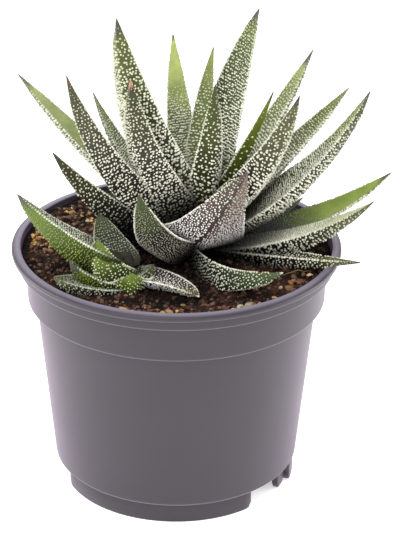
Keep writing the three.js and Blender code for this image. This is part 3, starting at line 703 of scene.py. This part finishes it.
# Degrees round the stem, height of the root, reach and height of the tip, sag of the middle and its swing
# to the left, degrees of roll, greatest width and thickness, and the look. In mm, above the soil.
LEAVES = dict(
    leaf_heart=(-167, 15, 9, 44, 1, 0, 0, 12, 4.5, "frosted"),
    leaf_front_heart=(-68, 15, 18, 71, 3, 0, 0, 12, 6, "olive"),
    leaf_back_left_heart=(110, 15, 24, 75, 3, 0, 0, 12, 5, "bright_heart"),
    leaf_tall=(34, 14, 27.2, 87.7, 1, 3.8, 0, 26.5, 7, "wormy"),
    leaf_tall_left=(-160, 13, 29.5, 93, 3.8, -1, 34, 27, 8, "pearled"),
    leaf_back_right_heart=(72, 13, 21, 71, 2, 2, 0, 10, 4.5, "beaded"),
    leaf_blade=(-20, 13, 29, 66, 1, 0, -10, 7.5, 4, "vivid"),
    leaf_front_left=(-142, 12, 29, 73, 6, 0, 25, 19.5, 7, "dark_pink"),
    leaf_right=(17, 11, 44, 73, 2, 0.5, 0, 17, 6, "beaded"),
    leaf_front_right=(-31, 11, 42, 69, 5, 0, -40, 15.5, 7, "dark"),
    leaf_left_back=(161, 10, 39, 56, 4, 0, 0, 13, 5, "striped"),
    leaf_left_broad=(-160, 9, 48, 74, 6.5, -0.5, 24, 19, 9.5, "dark_brown"),
    leaf_right_upper=(18, 8, 59, 56.5, 1.4, 0, 0, 18, 6, "beaded_pink"),
    leaf_right_big=(-6, 7, 62, 65, 6.8, 0, 2, 26, 9, "striped"),
    leaf_left_long=(173, 7, 64, 65, 1.8, 0, -8, 17, 7.5, "bright"),
    leaf_front_broad=(-54, 9, 31, 41.5, 7, -7.6, -25, 31.5, 7, "frosted"),
    leaf_front_left_low=(-118, 5, 42, 38, 9, 0.5, 18, 20, 7, "fine"),
    leaf_left_low=(-167, 1.5, 52, 43, 3.5, 0, 25, 22, 10, "low_dark"),
    leaf_right_low=(5, 4, 72, 28, 6.5, 0, 5, 20, 6.5, "lime"),
    leaf_right_front_low=(-15, 3, 66, 27, 5.3, 0, -4, 17, 9.5, "ridged"),
    leaf_dry=(-27, 3, 66, 9, 0.5, 0, -10, 14, 7, "dry"),
    leaf_front_ground=(-57, 3, 56, 13, 5.5, -5, -50, 17.5, 8, "ground"),
    leaf_back_upper=(75, 9, 40, 38, 5, 0, 0, 12, 5, "plain"),
    leaf_back_left=(118, 8, 41, 30, 5, 0, 0, 12, 5, "plain"),
    leaf_back_low=(95, 5, 52, 24, 5, 0, 0, 12, 5, "plain"),
    leaf_back_right=(52, 5, 55, 26, 5, 0, 0, 12, 5, "plain"),
    leaf_back_left_low=(142, 4, 44, 17, 4, 0, 0, 11, 4.5, "shade"),
    leaf_back_right_low=(30, 3, 47, 10, 4, 0, 0, 11, 4.5, "shade"),
    pup_heart=(124, 4, 18, 19.6, 1.5, 0, 0, 17, 5, "slate"),
    pup_front=(-140, 3, 12.5, 20, 3, 0, 25, 17, 9, "dotted"),
    pup_long=(180, 9.5, 38, 33.6, 2, 0, 15, 25, 11, "grass"),
    pup_left=(-155, 3, 21.6, 11.9, 2.5, 0, 0, 17, 8, "grass"),
    pup_left_low=(-150, 2, 29, 8.2, 2, 0, 0, 20, 9, "slate"),
    pup_front_low=(-80, 4, 13, 9, 3, 0, 0, 18, 8, "dotted"),
    pup_right=(-15, 3, 10, 7.5, 1, 0, 0, 10, 6, "slate"),
    pup_right_low=(-34, 4, 31.2, 2.3, 0, 3.5, -10, 17, 5, "speckled"))


def width_share(s):
    """Width along the leaf: (root + (1 - root) sin(shoulder)) (1 - s^taper)."""
    shoulder = np.sin(np.minimum(1, s / SHOULDER) * np.pi / 2)
    return (ROOT_WIDTH + (1 - ROOT_WIDTH) * shoulder) * (1 - s**TAPER)


def leaf_grid(name):
    """Rows of closed sections along a curved midrib, the two end points, and each row's half width. The
    outer face is x = half cos a, y = -thick (1 - |cos a|)^keel, and the inner one a shallow parabola."""
    turn, root_rise, reach, rise, bow, swing, roll, wide, thick, _ = LEAVES[name]
    x0, y0, radius = STANDS[name.split("_")[0]]
    turn, roll = math.radians(turn), math.radians(roll)
    out = np.array([math.cos(turn), math.sin(turn), 0.0])
    left = np.array([-math.sin(turn), math.cos(turn), 0.0])
    ground = np.array([x0, y0, SOIL_TOP])
    root = ground + out * radius * ROOT_IN_STEM + [0, 0, root_rise]
    tip = ground + out * reach + [0, 0, rise]
    lift = np.cross(unit(tip - root), left)
    bend = (root + tip) / 2 - 2 * bow * lift + 2 * swing * left
    s = np.linspace(0, 1, LEAF_ROWS)[:, None]
    centre = curve(root, bend, tip, s)
    along = unit(2 * (1 - s) * (bend - root) + 2 * s * (tip - bend))
    side = unit(left - along * (along @ left)[:, None])
    inward = np.cross(along, side)
    across = side * math.cos(roll) + inward * math.sin(roll)
    inward = inward * math.cos(roll) - side * math.sin(roll)
    share = width_share(s) * (1 + WAVE * noise(centre, WAVE_LENGTH, len(name)))[:, None]
    swell = SWELL * np.minimum(1, 0.5 * wide * share / SWELL_WIDTH)
    half = 0.5 * (TIP_WIDTH + (wide - TIP_WIDTH) * share) + swell
    deep = TIP_THICKNESS + (thick - TIP_THICKNESS) * share + swell
    outer = np.cos(np.pi * np.arange(OUTER_COLUMNS + 1) / OUTER_COLUMNS)
    inner = -np.cos(np.pi * np.arange(1, INNER_COLUMNS) / INNER_COLUMNS)
    x = half * np.concatenate([outer, inner])
    y = np.concatenate([-deep * (1 - np.abs(outer)) ** KEEL_POWER, -HOLLOW * half * (1 - inner**2)], 1)
    grid = centre[:, None] + across[:, None] * x[..., None] + inward[:, None] * y[..., None]
    ends = np.array([centre[0], centre[-1] + along[-1] * TIP_POINT])
    return grid, ends, half[:, 0]


print("leaves:", len(LEAVES))

# %% [markdown]
# ## Colours and tubercles of each leaf
# The plant is one, but its leaves are not alike. Old outer faces are nearly black between the tubercles,
# inner faces are yellow green and smooth above, and some tips are dry and pink. A look names the colours of
# both faces, the spacing and size of the tubercles on each, and how far up the inner face they go.

# %% Looks
# Skin colours: outer face low and high, inner face low and high, tip. Then spacing and size in mm of the
# tubercles outside and inside, and shares of the length: where the inner ones thin out, and where the
# tip's colour starts.
LOOKS = dict(
    plain=("#1d1b12 #4a4d2a #3c4426 #76843f #6a6854", 1.45, 0.42, 1.15, 0.34, 0.55, 0.94),
    dark=("#16120b #504f36 #3a4120 #7c8a40 #3a372c", 1.33, 0.44, 1.15, 0.36, 0.72, 0.94),
    # Like dark, with smaller tubercles and an outer face painted darker, as shade for a leaf low in the
    # crown.
    low_dark=("#14100a #33331c #3a4120 #7c8a40 #3a372c", 1.35, 0.385, 1.15, 0.36, 0.72, 0.94),
    dark_pink=("#2a2320 #3c3c28 #3a4120 #737f40 #a47a68", 1.24, 0.405, 1.15, 0.36, 0.6, 0.98),
    dark_brown=("#251f1a #403f2c #3a4120 #7c8a40 #5f4436", 1.26, 0.38, 1.1, 0.35, 0.6, 0.95),
    olive=("#2c2f0c #3a4216 #56602c #8c9650 #3c3c30", 1.55, 0.405, 1.2, 0.36, 0.8, 0.95),
    vivid=("#3f4c10 #5f6c1e #647430 #78863a #4a4a3e", 2.1, 0.40, 1.6, 0.3, 0.4, 0.9),
    pearled=("#28280f #4c5226 #4a5226 #6e7840 #44423a", 1.27, 0.5, 1.15, 0.42, 0.95, 0.96),
    bright=("#1d1c10 #474d2a #3a4224 #858f58 #5e5a48", 1.3, 0.43, 0.98, 0.36, 0.62, 0.95),
    bright_heart=("#1d1c10 #50562c #646e46 #a8b46a #352f2a", 1.3, 0.43, 0.98, 0.45, 0.76, 0.935),
    beaded=("#26260f #525a30 #6a7444 #8e985a #45463c", 1.42, 0.44, 1.24, 0.47, 0.98, 0.91),
    beaded_pink=("#24240f #4a5230 #545a32 #7c8850 #b88070", 1.3, 0.44, 1.12, 0.40, 1.1, 0.955),
    striped=("#15110b #2e301c #4c5438 #76824a #3a3b32", 1.4, 0.43, 0.98, 0.38, 0.96, 0.95),
    wormy=("#17130c #34381f #3a4220 #6e7f38 #37362f", 1.35, 0.46, 1.18, 0.44, 1.1, 0.91),
    ridged=("#1c1814 #44462a #a8aa92 #b4bc8c #3c3a2e", 1.32, 0.42, 0.95, 0.43, 0.9, 0.95),
    frosted=("#4a413e #4d423e #504c3c #7c7c5c #bb8c7c", 0.94, 0.36, 1.05, 0.36, 0.9, 0.985),
    fine=("#1a1613 #2c2c1d #3c4630 #5c6b3a #343e1e", 0.92, 0.25, 1.1, 0.30, 0.6, 0.66),
    dry=("#17120d #3c3a26 #2c2a1c #5c5f3c #bfb098", 1.45, 0.38, 1.3, 0.32, 0.9, 0.955),
    shade=("#1c2016 #46543a #3c4630 #5e6c4c #70745e", 1.2, 0.32, 1.1, 0.30, 0.7, 0.94),
    slate=("#2e2f20 #4e523a #34382a #50563f #43463a", 1.2, 0.36, 1.0, 0.38, 0.97, 0.96),
    dotted=("#303c12 #5c6f24 #4a5824 #6a7c2c #5c6440", 1.25, 0.35, 1.1, 0.34, 0.9, 0.96),
    speckled=("#3f3530 #5e524b #40352f #5e5048 #d8d2c6", 1.15, 0.38, 1.15, 0.34, 0.99, 0.97),
    ground=("#1c2016 #3a482c #3a4630 #55663e #d8dacb", 1.2, 0.37, 1.1, 0.32, 0.3, 0.97),
    lime=("#1d1c10 #474d2a #34481d #869a42 #4e5036", 1.3, 0.43, 0.98, 0.34, 0.55, 0.95),
    grass=("#2c3a0c #566c1a #3a3c2e #5b6148 #45483c", 1.15, 0.30, 1.0, 0.40, 0.95, 0.86))
# Tubercles are chalk white but for these looks: the colours on the outer face, inside, and on the margins.
CHALK = "#e8e8d6 #e8e8d6 #e8e8d6"
TUBERCLE_TINTS = dict(
    grass="#929c52 #cfd2bb #d4d8c4", shade="#a9ad98 #9fa48e #b8bca8", slate="#c2c6b3 #aeb29f #c8ccba",
    fine="#a8a297 #a8a297 #eceae2", frosted="#f8f4f1 #e2dcd8 #eceae2", speckled="#fbf7f0 #fbf7f0 #f4f0e8",
    dotted="#d0d6ae #d0d6ae #e0e4cc")
# Beads along the margins: their spacing and size in mm, and finer ones for some looks.
MARGIN_BEADS = (1.05, 0.4)
FINE_MARGINS = dict(fine=(0.45, 0.42), slate=(0.6, 0.26), shade=(0.6, 0.28), speckled=(0.7, 0.34))
# These looks have round tubercles all the way: their widening across the leaf is cut to this share.
ROUND_LOOKS, ROUND_SHARE = ("speckled", "slate", "fine", "dotted", "grass", "ground", "frosted"), 0.2
# A leaf in full light blushes on one side of its fold: the colour, and the fold's column on the outer
# face. Then the blush's strength, how dark the fold's painted shade is, how wide it stays bare, and the
# light that tubercles keep on the side that blushes.
BLUSH = {"frosted": (linear("#6a5550"), 9.2)}
BLUSH_STRENGTH, FOLD_CREASE_SHADE, FOLD_BARE, BLUSH_DULL = 0.75, 0.75, 0.22, 0.62
print("looks:", len(LOOKS))

# %% [markdown]
# A tubercle is a low dome whose foot is sunk into the skin. Tubercles stand in rows across the leaf like
# bricks, a little out of line, and each margin carries one line of them as beads. Bump in the material
# would be cheaper, but it stays flat at a leaf's outline, where the photo shows them stand out.

# %% Where tubercles stand
# How far they widen across the leaf low down, how long they are, how far they turn in radians, and how
# high they stand: on the outer face, on the inner one and on the margins.
STUD_KINDS = np.array([(0.7, 0.92, 0.5, 1.4), (0.75, 0.8, 0.35, 0.8), (0.0, 1.3, 0.0, 1.35)])
OUTER, INNER, MARGIN = range(3)
# Shares of the leaf's length: where rows start and end, with the inner ones a little past the place where
# they thin out, and where the others would thin out.
OUTER_SPAN, MARGIN_SPAN = (0.04, 0.975), (0.06, 0.985)
INNER_START, INNER_PAST, INNER_END = 0.1, 0.12, 0.95
OUTER_STOP, MARGIN_STOP = 1.04, 1.0
# In gaps between rows: the gap in a row, the shift of every other row, and how far tubercles stray.
ROW_GAP, ROW_SHIFT, OUTER_STRAY, INNER_STRAY, MARGIN_STRAY = 0.95, 0.25, 0.33, 0.25, 0.1
ROW_MARGIN = 0.02  # share of the width that stays free at both ends of a row
SHORT_OF_END = 1.001  # keeps a place just short of a grid's last row
STUD_SIDES, STUD_SINK, STUD_TOP, STUD_SHOULDER = 5, 0.35, 0.76, 0.6
# A foot below the skin, a shoulder, and a point on top. One face closes the foot.
STUD = np.concatenate([
    np.column_stack([circle(STUD_SIDES), np.full(STUD_SIDES, -STUD_SINK)]),
    np.column_stack([STUD_TOP * circle(STUD_SIDES), np.full(STUD_SIDES, STUD_SHOULDER)]),
    [[0, 0, 1.0]]])
STUD_FACES = [skin_faces(2, STUD_SIDES), fan_faces(STUD_SIDES, STUD_SIDES, 2 * STUD_SIDES),
              np.arange(STUD_SIDES)[None, ::-1]]


def grid_at(grid, row, column):
    """Values between the corners of a grid: (1-u)(1-v) a + (1-u) v b + u (1-v) c + u v d."""
    i = np.minimum(row.astype(int), grid.shape[0] - 2)
    j = np.minimum(column.astype(int), grid.shape[1] - 2)
    u, v = (row - i)[:, None], (column - j)[:, None]
    low = (1 - v) * grid[i, j] + v * grid[i, j + 1]
    return (1 - u) * low + u * ((1 - v) * grid[i + 1, j] + v * grid[i + 1, j + 1])


def brick_spots(face, gap, start, stop, stray, rng):
    """Rows of spots like bricks: row k lies (k + 1/2) gaps up the leaf and holds as many spots as fit its
    width. Rows shift left and right by turns, and spots stray by up to stray gaps."""
    rows = len(face)
    reach = np.concatenate([[0], np.cumsum(np.linalg.norm(np.diff(face.mean(1), axis=0), axis=1))])
    lines = np.arange(start * reach[-1], stop * reach[-1], gap) + gap / 2
    row = np.interp(lines, reach, np.arange(rows))
    nearest = np.minimum(np.rint(row).astype(int), rows - 1)
    steps = np.linalg.norm(np.diff(face, axis=1), axis=2)
    arc = np.concatenate([np.zeros((rows, 1)), np.cumsum(steps, 1)], 1)
    number = np.maximum(1, np.floor(arc[nearest, -1] / (ROW_GAP * gap))).astype(int)
    line = np.repeat(np.arange(len(lines)), number)
    place = np.arange(number.sum()) - np.repeat(np.cumsum(number) - number, number)
    shift = ROW_SHIFT * np.where(line % 2, 1, -1) + rng.uniform(-stray, stray, len(line))
    share = np.clip((place + 0.5 + shift) / number[line], ROW_MARGIN, 1 - ROW_MARGIN)
    # All rows' arcs, each from its own row number to just short of the next, make one rising line.
    rising = (arc / (arc[:, -1:] * 1.000001) + np.arange(rows)[:, None]).ravel()
    column = np.interp(share + nearest[line], rising, np.tile(np.arange(face.shape[1]), rows))
    strayed = row[line] + rng.uniform(-stray, stray, len(line)) * gap / reach[-1] * rows
    return np.clip(strayed, 0, rows - SHORT_OF_END), column


def margin_spots(face, column, gap, rng):
    """Spots along one margin of a face, one gap apart."""
    length = np.linalg.norm(np.diff(face[:, column], axis=0), axis=1).sum()
    row = np.arange(*MARGIN_SPAN, gap / length) * (len(face) - 1)
    row = row + rng.uniform(-MARGIN_STRAY, MARGIN_STRAY, len(row))
    return np.clip(row, 0, len(face) - SHORT_OF_END), np.full(len(row), float(column))


print("faces in a tubercle:", sum(map(len, STUD_FACES)))

# %% [markdown]
# Tubercles stand square to the skin, so each gets a small frame of its own: the skin's normal, the way to
# the tip, and the way across.

# %% All the spots of one leaf
FRAME_STEP = 0.35  # rows and columns to either side that a frame is measured over


def stud_frames(grid, row, column):
    """Places and (across, along, out) frames on a grid, from differences of the grid to either side."""
    last_row, last_column = len(grid) - 1, grid.shape[1] - 1
    ahead, behind = (grid_at(grid, np.clip(row + d, 0, last_row), column) for d in (FRAME_STEP, -FRAME_STEP))
    right, left = (grid_at(grid, row, np.clip(column + d, 0, last_column)) for d in (FRAME_STEP, -FRAME_STEP))
    along = unit(ahead - behind)
    out = unit(np.cross(along, right - left))
    return grid_at(grid, row, column), np.stack([np.cross(along, out), along, out], -1)


def leaf_spots(look, grid, rng):
    """Every spot of a leaf: place, frame, column, height as a share of the length, size, the height where
    its kind thins out, and the kind."""
    outer_gap, outer_size, inner_gap, inner_size, inner_stop = LOOKS[look][1:6]
    bead_gap, bead_size = FINE_MARGINS.get(look, MARGIN_BEADS)
    outer_face = grid[:, :OUTER_COLUMNS + 1]
    inner_face = np.concatenate([grid[:, OUTER_COLUMNS:], grid[:, :1]], 1)
    inner_span = INNER_START, min(INNER_END, inner_stop + INNER_PAST)
    sets = [(outer_face, brick_spots(outer_face, outer_gap, *OUTER_SPAN, OUTER_STRAY, rng),
             outer_size, OUTER_STOP, OUTER),
            (inner_face, brick_spots(inner_face, inner_gap, *inner_span, INNER_STRAY, rng),
             inner_size, inner_stop, INNER)]
    sets += [(outer_face, margin_spots(outer_face, column, bead_gap, rng), bead_size, MARGIN_STOP, MARGIN)
             for column in (0, OUTER_COLUMNS)]
    counts = [len(spots[0]) for _, spots, *_ in sets]
    row, column = (np.concatenate([spots[i] for _, spots, *_ in sets]) for i in (0, 1))
    size, stop, kind = (np.repeat([one[i] for one in sets], counts) for i in (2, 3, 4))
    frames = [stud_frames(face, *spots) for face, spots, *_ in sets]
    place, axes = (np.concatenate([frame[i] for frame in frames]) for i in (0, 1))
    return place, axes, column, row / (len(grid) - 1), size, stop, kind


print("spots on one leaf:", len(leaf_spots("dark", leaf_grid("leaf_right")[0], np.random.default_rng(1))[0]))

# %% [markdown]
# Low on the leaf tubercles widen across it and run together into white bands, as the name zebra says;
# towards the tip they are round, small and greener. Leaf bases keep dust and dead skin, and light hardly
# reaches them: their colours are darkened towards the root with painted shade as well as dust.

# %% Sizes and colours
# Tubercles thin out from FADE_BELOW under their stop to FADE_ABOVE over it. Past that they keep FADED of
# their size and FEWEST of their number. Before it they keep all their size and FEWEST + MORE of them.
FADE_BELOW, FADE_ABOVE, FADED, FEWEST, MORE = 0.2, 0.08, 0.4, 0.25, 0.72
NARROW, FULL_WIDTH = 0.35, 4.5  # where the leaf is narrow, sizes shrink to NARROW + half / FULL_WIDTH
# Heights where they start and stop to get round, and how much sizes and widths vary.
WIDENED, SIZE_SPREAD, WIDTH_SPREAD = (0.35, 0.8), (0.72, 1.22), (0.1, 1.5)
# Heights where the dust and painted shade at the root end and where green begins, both colours, and how
# much their light varies.
ROOT_DUST_AND_SHADE_SPAN, GREENING, GREENER, WHITE_SPREAD = (0.04, 0.4), (0.5, 1.0), 0.8, (0.78, 1.0)
ROOT_DUST_AND_SHADE, STUD_TIPS = linear("#5a574e"), palette("#c4c99c #bccb78 #c4c99c")
# Light in the crown goes by depth, in mm: the distance from the stem's axis, FRONT_LIGHT times more of it
# towards the front, HEIGHT_LIGHT times the height above the soil, and INNER_LIGHT more on inner faces,
# which look up. Colours keep the third number's share below the first depth, and all above the second.
# SHADE_POWER makes that share look even to the eye, because the colours are linear.
CROWN_SHADE = {"leaf": (28.0, 82.0, 0.08), "pup": (3.0, 22.0, 0.42)}
FRONT_LIGHT, HEIGHT_LIGHT, INNER_LIGHT, SHADE_POWER = 1.2, 1.6, 8.0, 2.2
# Leaves that lie deeper in the shade of their neighbours, or clearer of it, by so many mm.
DEEPER = dict(
    leaf_left_low=22, leaf_front_left=9, leaf_front_left_low=5, leaf_tall=4, leaf_right_front_low=-8,
    leaf_back_right_heart=-16, leaf_back_left_heart=-24)


def crown_shade(name, points, is_inner):
    """How bright a point is left by its neighbours: (shade + (1 - shade) step(near, far, depth)) ^ power.
    is_inner is 1 on the inner face and 0 on the outer one."""
    kind = name.split("_")[0]
    x0, y0, _ = STANDS[kind]
    near, far, shade = CROWN_SHADE[kind]
    x, y, z = np.moveaxis(points, -1, 0)
    depth = np.hypot(x - x0, y - y0) + FRONT_LIGHT * np.maximum(0, y0 - y) + HEIGHT_LIGHT * (z - SOIL_TOP)
    depth += INNER_LIGHT * is_inner - DEEPER.get(name, 0)
    return (shade + (1 - shade) * smooth_step(near, far, depth)) ** SHADE_POWER


def stud_sizes(height, size, stop, kind, half, widen_share, rng):
    """Size of each tubercle along its three axes, and which of them grow at all."""
    rows = len(half)
    fade = 1 - smooth_step(stop - FADE_BELOW, stop + FADE_ABOVE, height)
    width = np.interp(height * (rows - 1), np.arange(rows), half)
    base = size * np.minimum(1, NARROW + width / FULL_WIDTH) * (FADED + (1 - FADED) * fade)
    base = base * rng.uniform(*SIZE_SPREAD, len(size))
    widen, long, _, tall = STUD_KINDS[kind].T
    widen = widen * widen_share * (1 - smooth_step(*WIDENED, height)) * rng.uniform(*WIDTH_SPREAD, len(size))
    grows = rng.random(len(size)) < FEWEST + MORE * fade
    return base[:, None] * np.stack([1 + widen, long, tall], -1), grows


def stud_colours(name, look, place, column, height, kind, rng):
    """Chalk, darker at the root with dust and painted shade, greener at the tip, duller on the blush, and in
    the painted shade of the crown.
    """
    chalk = palette(TUBERCLE_TINTS.get(look, CHALK))[kind]
    # Dust and painted shade darken the tubercles towards the root.
    colour = mix(chalk * ROOT_DUST_AND_SHADE, chalk, smooth_step(*ROOT_DUST_AND_SHADE_SPAN, height))
    green = STUD_TIPS[kind] * chalk.max(1, keepdims=True)
    colour = mix(colour, green, GREENER * smooth_step(*GREENING, height))
    colour = colour * rng.uniform(*WHITE_SPREAD, (len(kind), 1))
    if look in BLUSH:
        colour[(column < BLUSH[look][1]) & (kind == OUTER)] *= BLUSH_DULL
    return colour * crown_shade(name, place, kind == INNER)[:, None]


print("shade at the foot of a leaf:", crown_shade("leaf_right", np.array([6.5, 2.0, SOIL_TOP]), 0).round(3))

# %% [markdown]
# The skin's own colour goes from low to high on each face, with soft patches, and ends in the tip's. It is
# worked out on the leaf's grid, whose rows and columns know the length and the faces, as a texture in
# space doesn't.

# %% Leaves: skin, tubercles and margins in one mesh
# Where low turns to high: on the outer face, and on the inner one from where its tubercles thin out. Then
# strength and width in mm of patches and of the borders' wandering, and how the tip's colour comes in.
OUTER_TURN, INNER_TURN = (0.35, 0.85), (-0.3, 0.05)
PATCHES, WANDER, TIP_BLEND, TIP_END = (0.16, 5.0), (0.07, 7.0), 0.06, 0.99


def leaf_skin_colour(name, look, grid, seed):
    """Colour of each point of the skin, in the shade of the crown, and the tip's own colour."""
    outer_low, outer_high, inner_low, inner_high, tip = palette(LOOKS[look][0])
    inner_stop, tip_start = LOOKS[look][5:]
    column = np.arange(grid.shape[1])
    is_inner = smooth_step(OUTER_COLUMNS - 0.5, OUTER_COLUMNS + 1.5, column)
    s = np.linspace(0, 1, len(grid))[:, None] + WANDER[0] * rough(grid, WANDER[1], seed + 5, 2)
    outer = mix(outer_low, outer_high, smooth_step(*OUTER_TURN, s))
    if look in BLUSH:
        tone, fold = BLUSH[look]
        outer = mix(outer, tone, BLUSH_STRENGTH * (1 - smooth_step(fold - 1, fold + 1, column)))
        # Painted shade along the crease of the fold.
        outer = outer * (1 - FOLD_CREASE_SHADE * np.clip(1 - np.abs(column - fold), 0, 1))[:, None]
    inner = mix(inner_low, inner_high, smooth_step(*(inner_stop + turn for turn in INNER_TURN), s))
    colour = mix(outer, inner, is_inner) * (1 + PATCHES[0] * rough(grid, PATCHES[1], seed, 3))[..., None]
    colour = mix(colour, tip, smooth_step(tip_start, min(TIP_END, tip_start + TIP_BLEND), s))
    return colour * crown_shade(name, grid, is_inner)[..., None], tip


def leaf_piece(name, seed):
    """One leaf: the skin, a brick pattern of tubercles on both faces, and a bead line on both margins."""
    look = LEAVES[name][-1]
    rng = np.random.default_rng(seed)
    grid, ends, half = leaf_grid(name)
    colour, tip = leaf_skin_colour(name, look, grid, seed)
    place, axes, column, height, size, stop, kind = leaf_spots(look, grid, rng)
    widen_share = ROUND_SHARE if look in ROUND_LOOKS else 1
    sizes, grows = stud_sizes(height, size, stop, kind, half, widen_share, rng)
    if look in BLUSH:
        grows &= (np.abs(column - BLUSH[look][1]) > FOLD_BARE) | (kind != OUTER)
    place, axes, column, height, sizes, kind = (v[grows] for v in (place, axes, column, height, sizes, kind))
    spin = rng.normal(0, 1, len(kind)) * STUD_KINDS[kind, 2]
    cos, sin = np.cos(spin)[:, None], np.sin(spin)[:, None]
    across, along, out = axes.transpose(2, 0, 1)
    axes = np.stack([across * cos + along * sin, along * cos - across * sin, out], -1)
    studs, stud_faces = copies(STUD, STUD_FACES, place, axes, sizes)
    white = stud_colours(name, look, place, column, height, kind, rng)
    skin, skin_quads = close_skins([(grid, ends)], flip=True)
    faces = skin_quads + [f + len(skin) for f in stud_faces]
    slots = np.repeat([0, 1], [sum(map(len, skin_quads)), sum(map(len, stud_faces))])
    tint = np.concatenate([colour.reshape(-1, 3), [colour[0, 0], tip], np.repeat(white, len(STUD), 0)])
    points = np.concatenate([skin, studs])
    return make_piece(f"{name}_skin", points, faces, [leaf_skin, tubercle_white], slots, tint), len(kind)


FIRST_SEED = 100
studs_made = 0
for number, name in enumerate(LEAVES):
    piece, count = leaf_piece(name, FIRST_SEED + number)
    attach(piece, "root")
    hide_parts(name)
    studs_made += count
print("leaves:", len(LEAVES), "tubercles:", studs_made)

# %% [markdown]
# ## Stems and dry fibre
# Both stems keep their CAD solids, which hardly show between the leaf bases, so all that they need is a
# material of their own: they are corky and brown green.
# A few fibres like straw, left by old leaf bases, lie on the soil as thin tubes along a gentle bend.

# %% Stem surface and fibres
def corky(name):
    """Old stem tissue: brown green and matt, with scales 1.5 mm wide."""
    material, tree = new_material(name)
    place = add_node(tree, "ShaderNodeTexCoord")
    scales = add_node(tree, "ShaderNodeTexNoise", None, {
        "Vector": place.outputs["Object"], "Scale": 1 / (1.5 * MM), "Detail": 4.0})
    colour = add_node(tree, "ShaderNodeMix", {"data_type": "RGBA"}, {
        "Factor": scales.outputs["Fac"], "A": rgba("#16120b"), "B": rgba("#3a3420")})
    shader = add_node(tree, "ShaderNodeBsdfPrincipled", None, {
        "Base Color": colour.outputs["Result"], "Roughness": 0.85})
    add_node(tree, "ShaderNodeOutputMaterial", None, {"Surface": shader.outputs["BSDF"]})
    return material


stem_skin = corky("stem tissue, corky")
for node in ("stem", "pup_stem"):
    materials = frame["nodes"][node].data.materials
    materials.clear()
    materials.append(stem_skin)

# Start, middle and end in mm on the soil, and how much more the middle is lifted.
FIBRES = (
    ((-34, 41), (-31, 34), (-29.5, 26), 1.2), ((-30, 24), (-25, 21), (-19, 20), 1.0),
    ((38, -22), (43, -18), (49, -17), 1.0), ((10, 46), (16, 49), (24, 47), 1.0),
    ((40, 26), (44, 20), (45, 12), 0.8))
FIBRE_LIFT, FIBRE_RADIUS, FIBRE_END = 0.5, 0.28, 0.35  # mm, mm, and the ends' share of the radius
FIBRE_ROWS, FIBRE_SIDES = 14, 6


def fibre_mesh():
    """Tubes that follow the crust a little above it, thinner at both ends."""
    t = np.linspace(0, 1, FIBRE_ROWS)[:, None]
    bulge = np.sin(np.pi * t)
    ring = circle(FIBRE_SIDES)
    wide = FIBRE_RADIUS * (FIBRE_END + (1 - FIBRE_END) * bulge)[..., None]
    tubes = []
    for *places, lifted in FIBRES:
        flat = curve(*np.array(places), t)
        height = crust_height(flat[:, 0], flat[:, 1]) + FIBRE_LIFT + lifted * bulge[:, 0]
        line = np.column_stack([flat, height])
        side = unit(np.cross(unit(np.gradient(line, axis=0)), [0, 0, 1]))
        over = np.cross(side, unit(np.gradient(line, axis=0)))
        tubes.append((line[:, None] + wide * (side[:, None] * ring[:, :1] + over[:, None] * ring[:, 1:]),
                      line[[0, -1]]))
    points, faces = close_skins(tubes, flip=True)
    tint = np.tile(linear("#7d6648"), (len(points), 1))
    return make_piece("dry_fibres", points, faces, [dry_fibre], tint=tint)


fibres = fibre_mesh()
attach(fibres, "root")
print("fibres:", len(FIBRES))

# %% [markdown]
# ## Floor and light
# The photo is a packshot: a white table and broad, soft light from above and in front, so nothing casts a
# hard shadow and the pot's sides take a white sheen. The white floor and the sky do most of it, and three
# large soft lights shape the leaves: one in front and above, and one on each side.

# %% Floor, sky and lights
FLOOR_HALF = 1.6  # metres
floor_mesh = bpy.data.meshes.new("floor")
floor_mesh.from_pydata([(x * FLOOR_HALF, y * FLOOR_HALF, 0) for x, y in ((-1, -1), (1, -1), (1, 1), (-1, 1))],
                       [], [(0, 1, 2, 3)])
floor = bpy.data.objects.new("floor", floor_mesh)
bpy.context.scene.collection.objects.link(floor)
# Opal acrylic table: white, matt and lit a little from below, which takes the shadow away.
table, table_tree = new_material("opal acrylic table, white matt, lit from below")
table_shader = add_node(table_tree, "ShaderNodeBsdfPrincipled", None, {
    "Base Color": rgba("#fbfbfb"), "Roughness": 0.9, "Specular IOR Level": 0.2,
    "Emission Color": (1, 1, 1, 1), "Emission Strength": 0.5})
add_node(table_tree, "ShaderNodeOutputMaterial", None, {"Surface": table_shader.outputs["BSDF"]})
floor_mesh.materials.append(table)

world = bpy.data.worlds.new("white room")
bpy.context.scene.world = world
world.use_nodes = True
world.node_tree.nodes.clear()
sky = add_node(world.node_tree, "ShaderNodeBackground", None, {"Color": (1, 1, 1, 1), "Strength": 1.0})
add_node(world.node_tree, "ShaderNodeOutputWorld", None, {"Surface": sky.outputs["Background"]})
bpy.context.scene.view_settings.view_transform = "Standard"


def soft_light(name, place, aim, size, watts):
    """A square area light at place, in mm, that faces aim."""
    data = bpy.data.lights.new(name, "AREA")
    data.size, data.energy = size * MM, watts
    light = bpy.data.objects.new(name, data)
    bpy.context.scene.collection.objects.link(light)
    at, to = Vector(metres(place)), Vector(metres(aim))
    light.matrix_world = Matrix.Translation(at) @ (to - at).to_track_quat("-Z", "Y").to_matrix().to_4x4()


soft_light("key", (-350, -600, 1000), (0, 0, 100), 900, 8)
soft_light("left side", (-900, 150, 260), (0, 0, 70), 700, 7)
soft_light("right side", (900, 150, 260), (0, 0, 70), 700, 7)
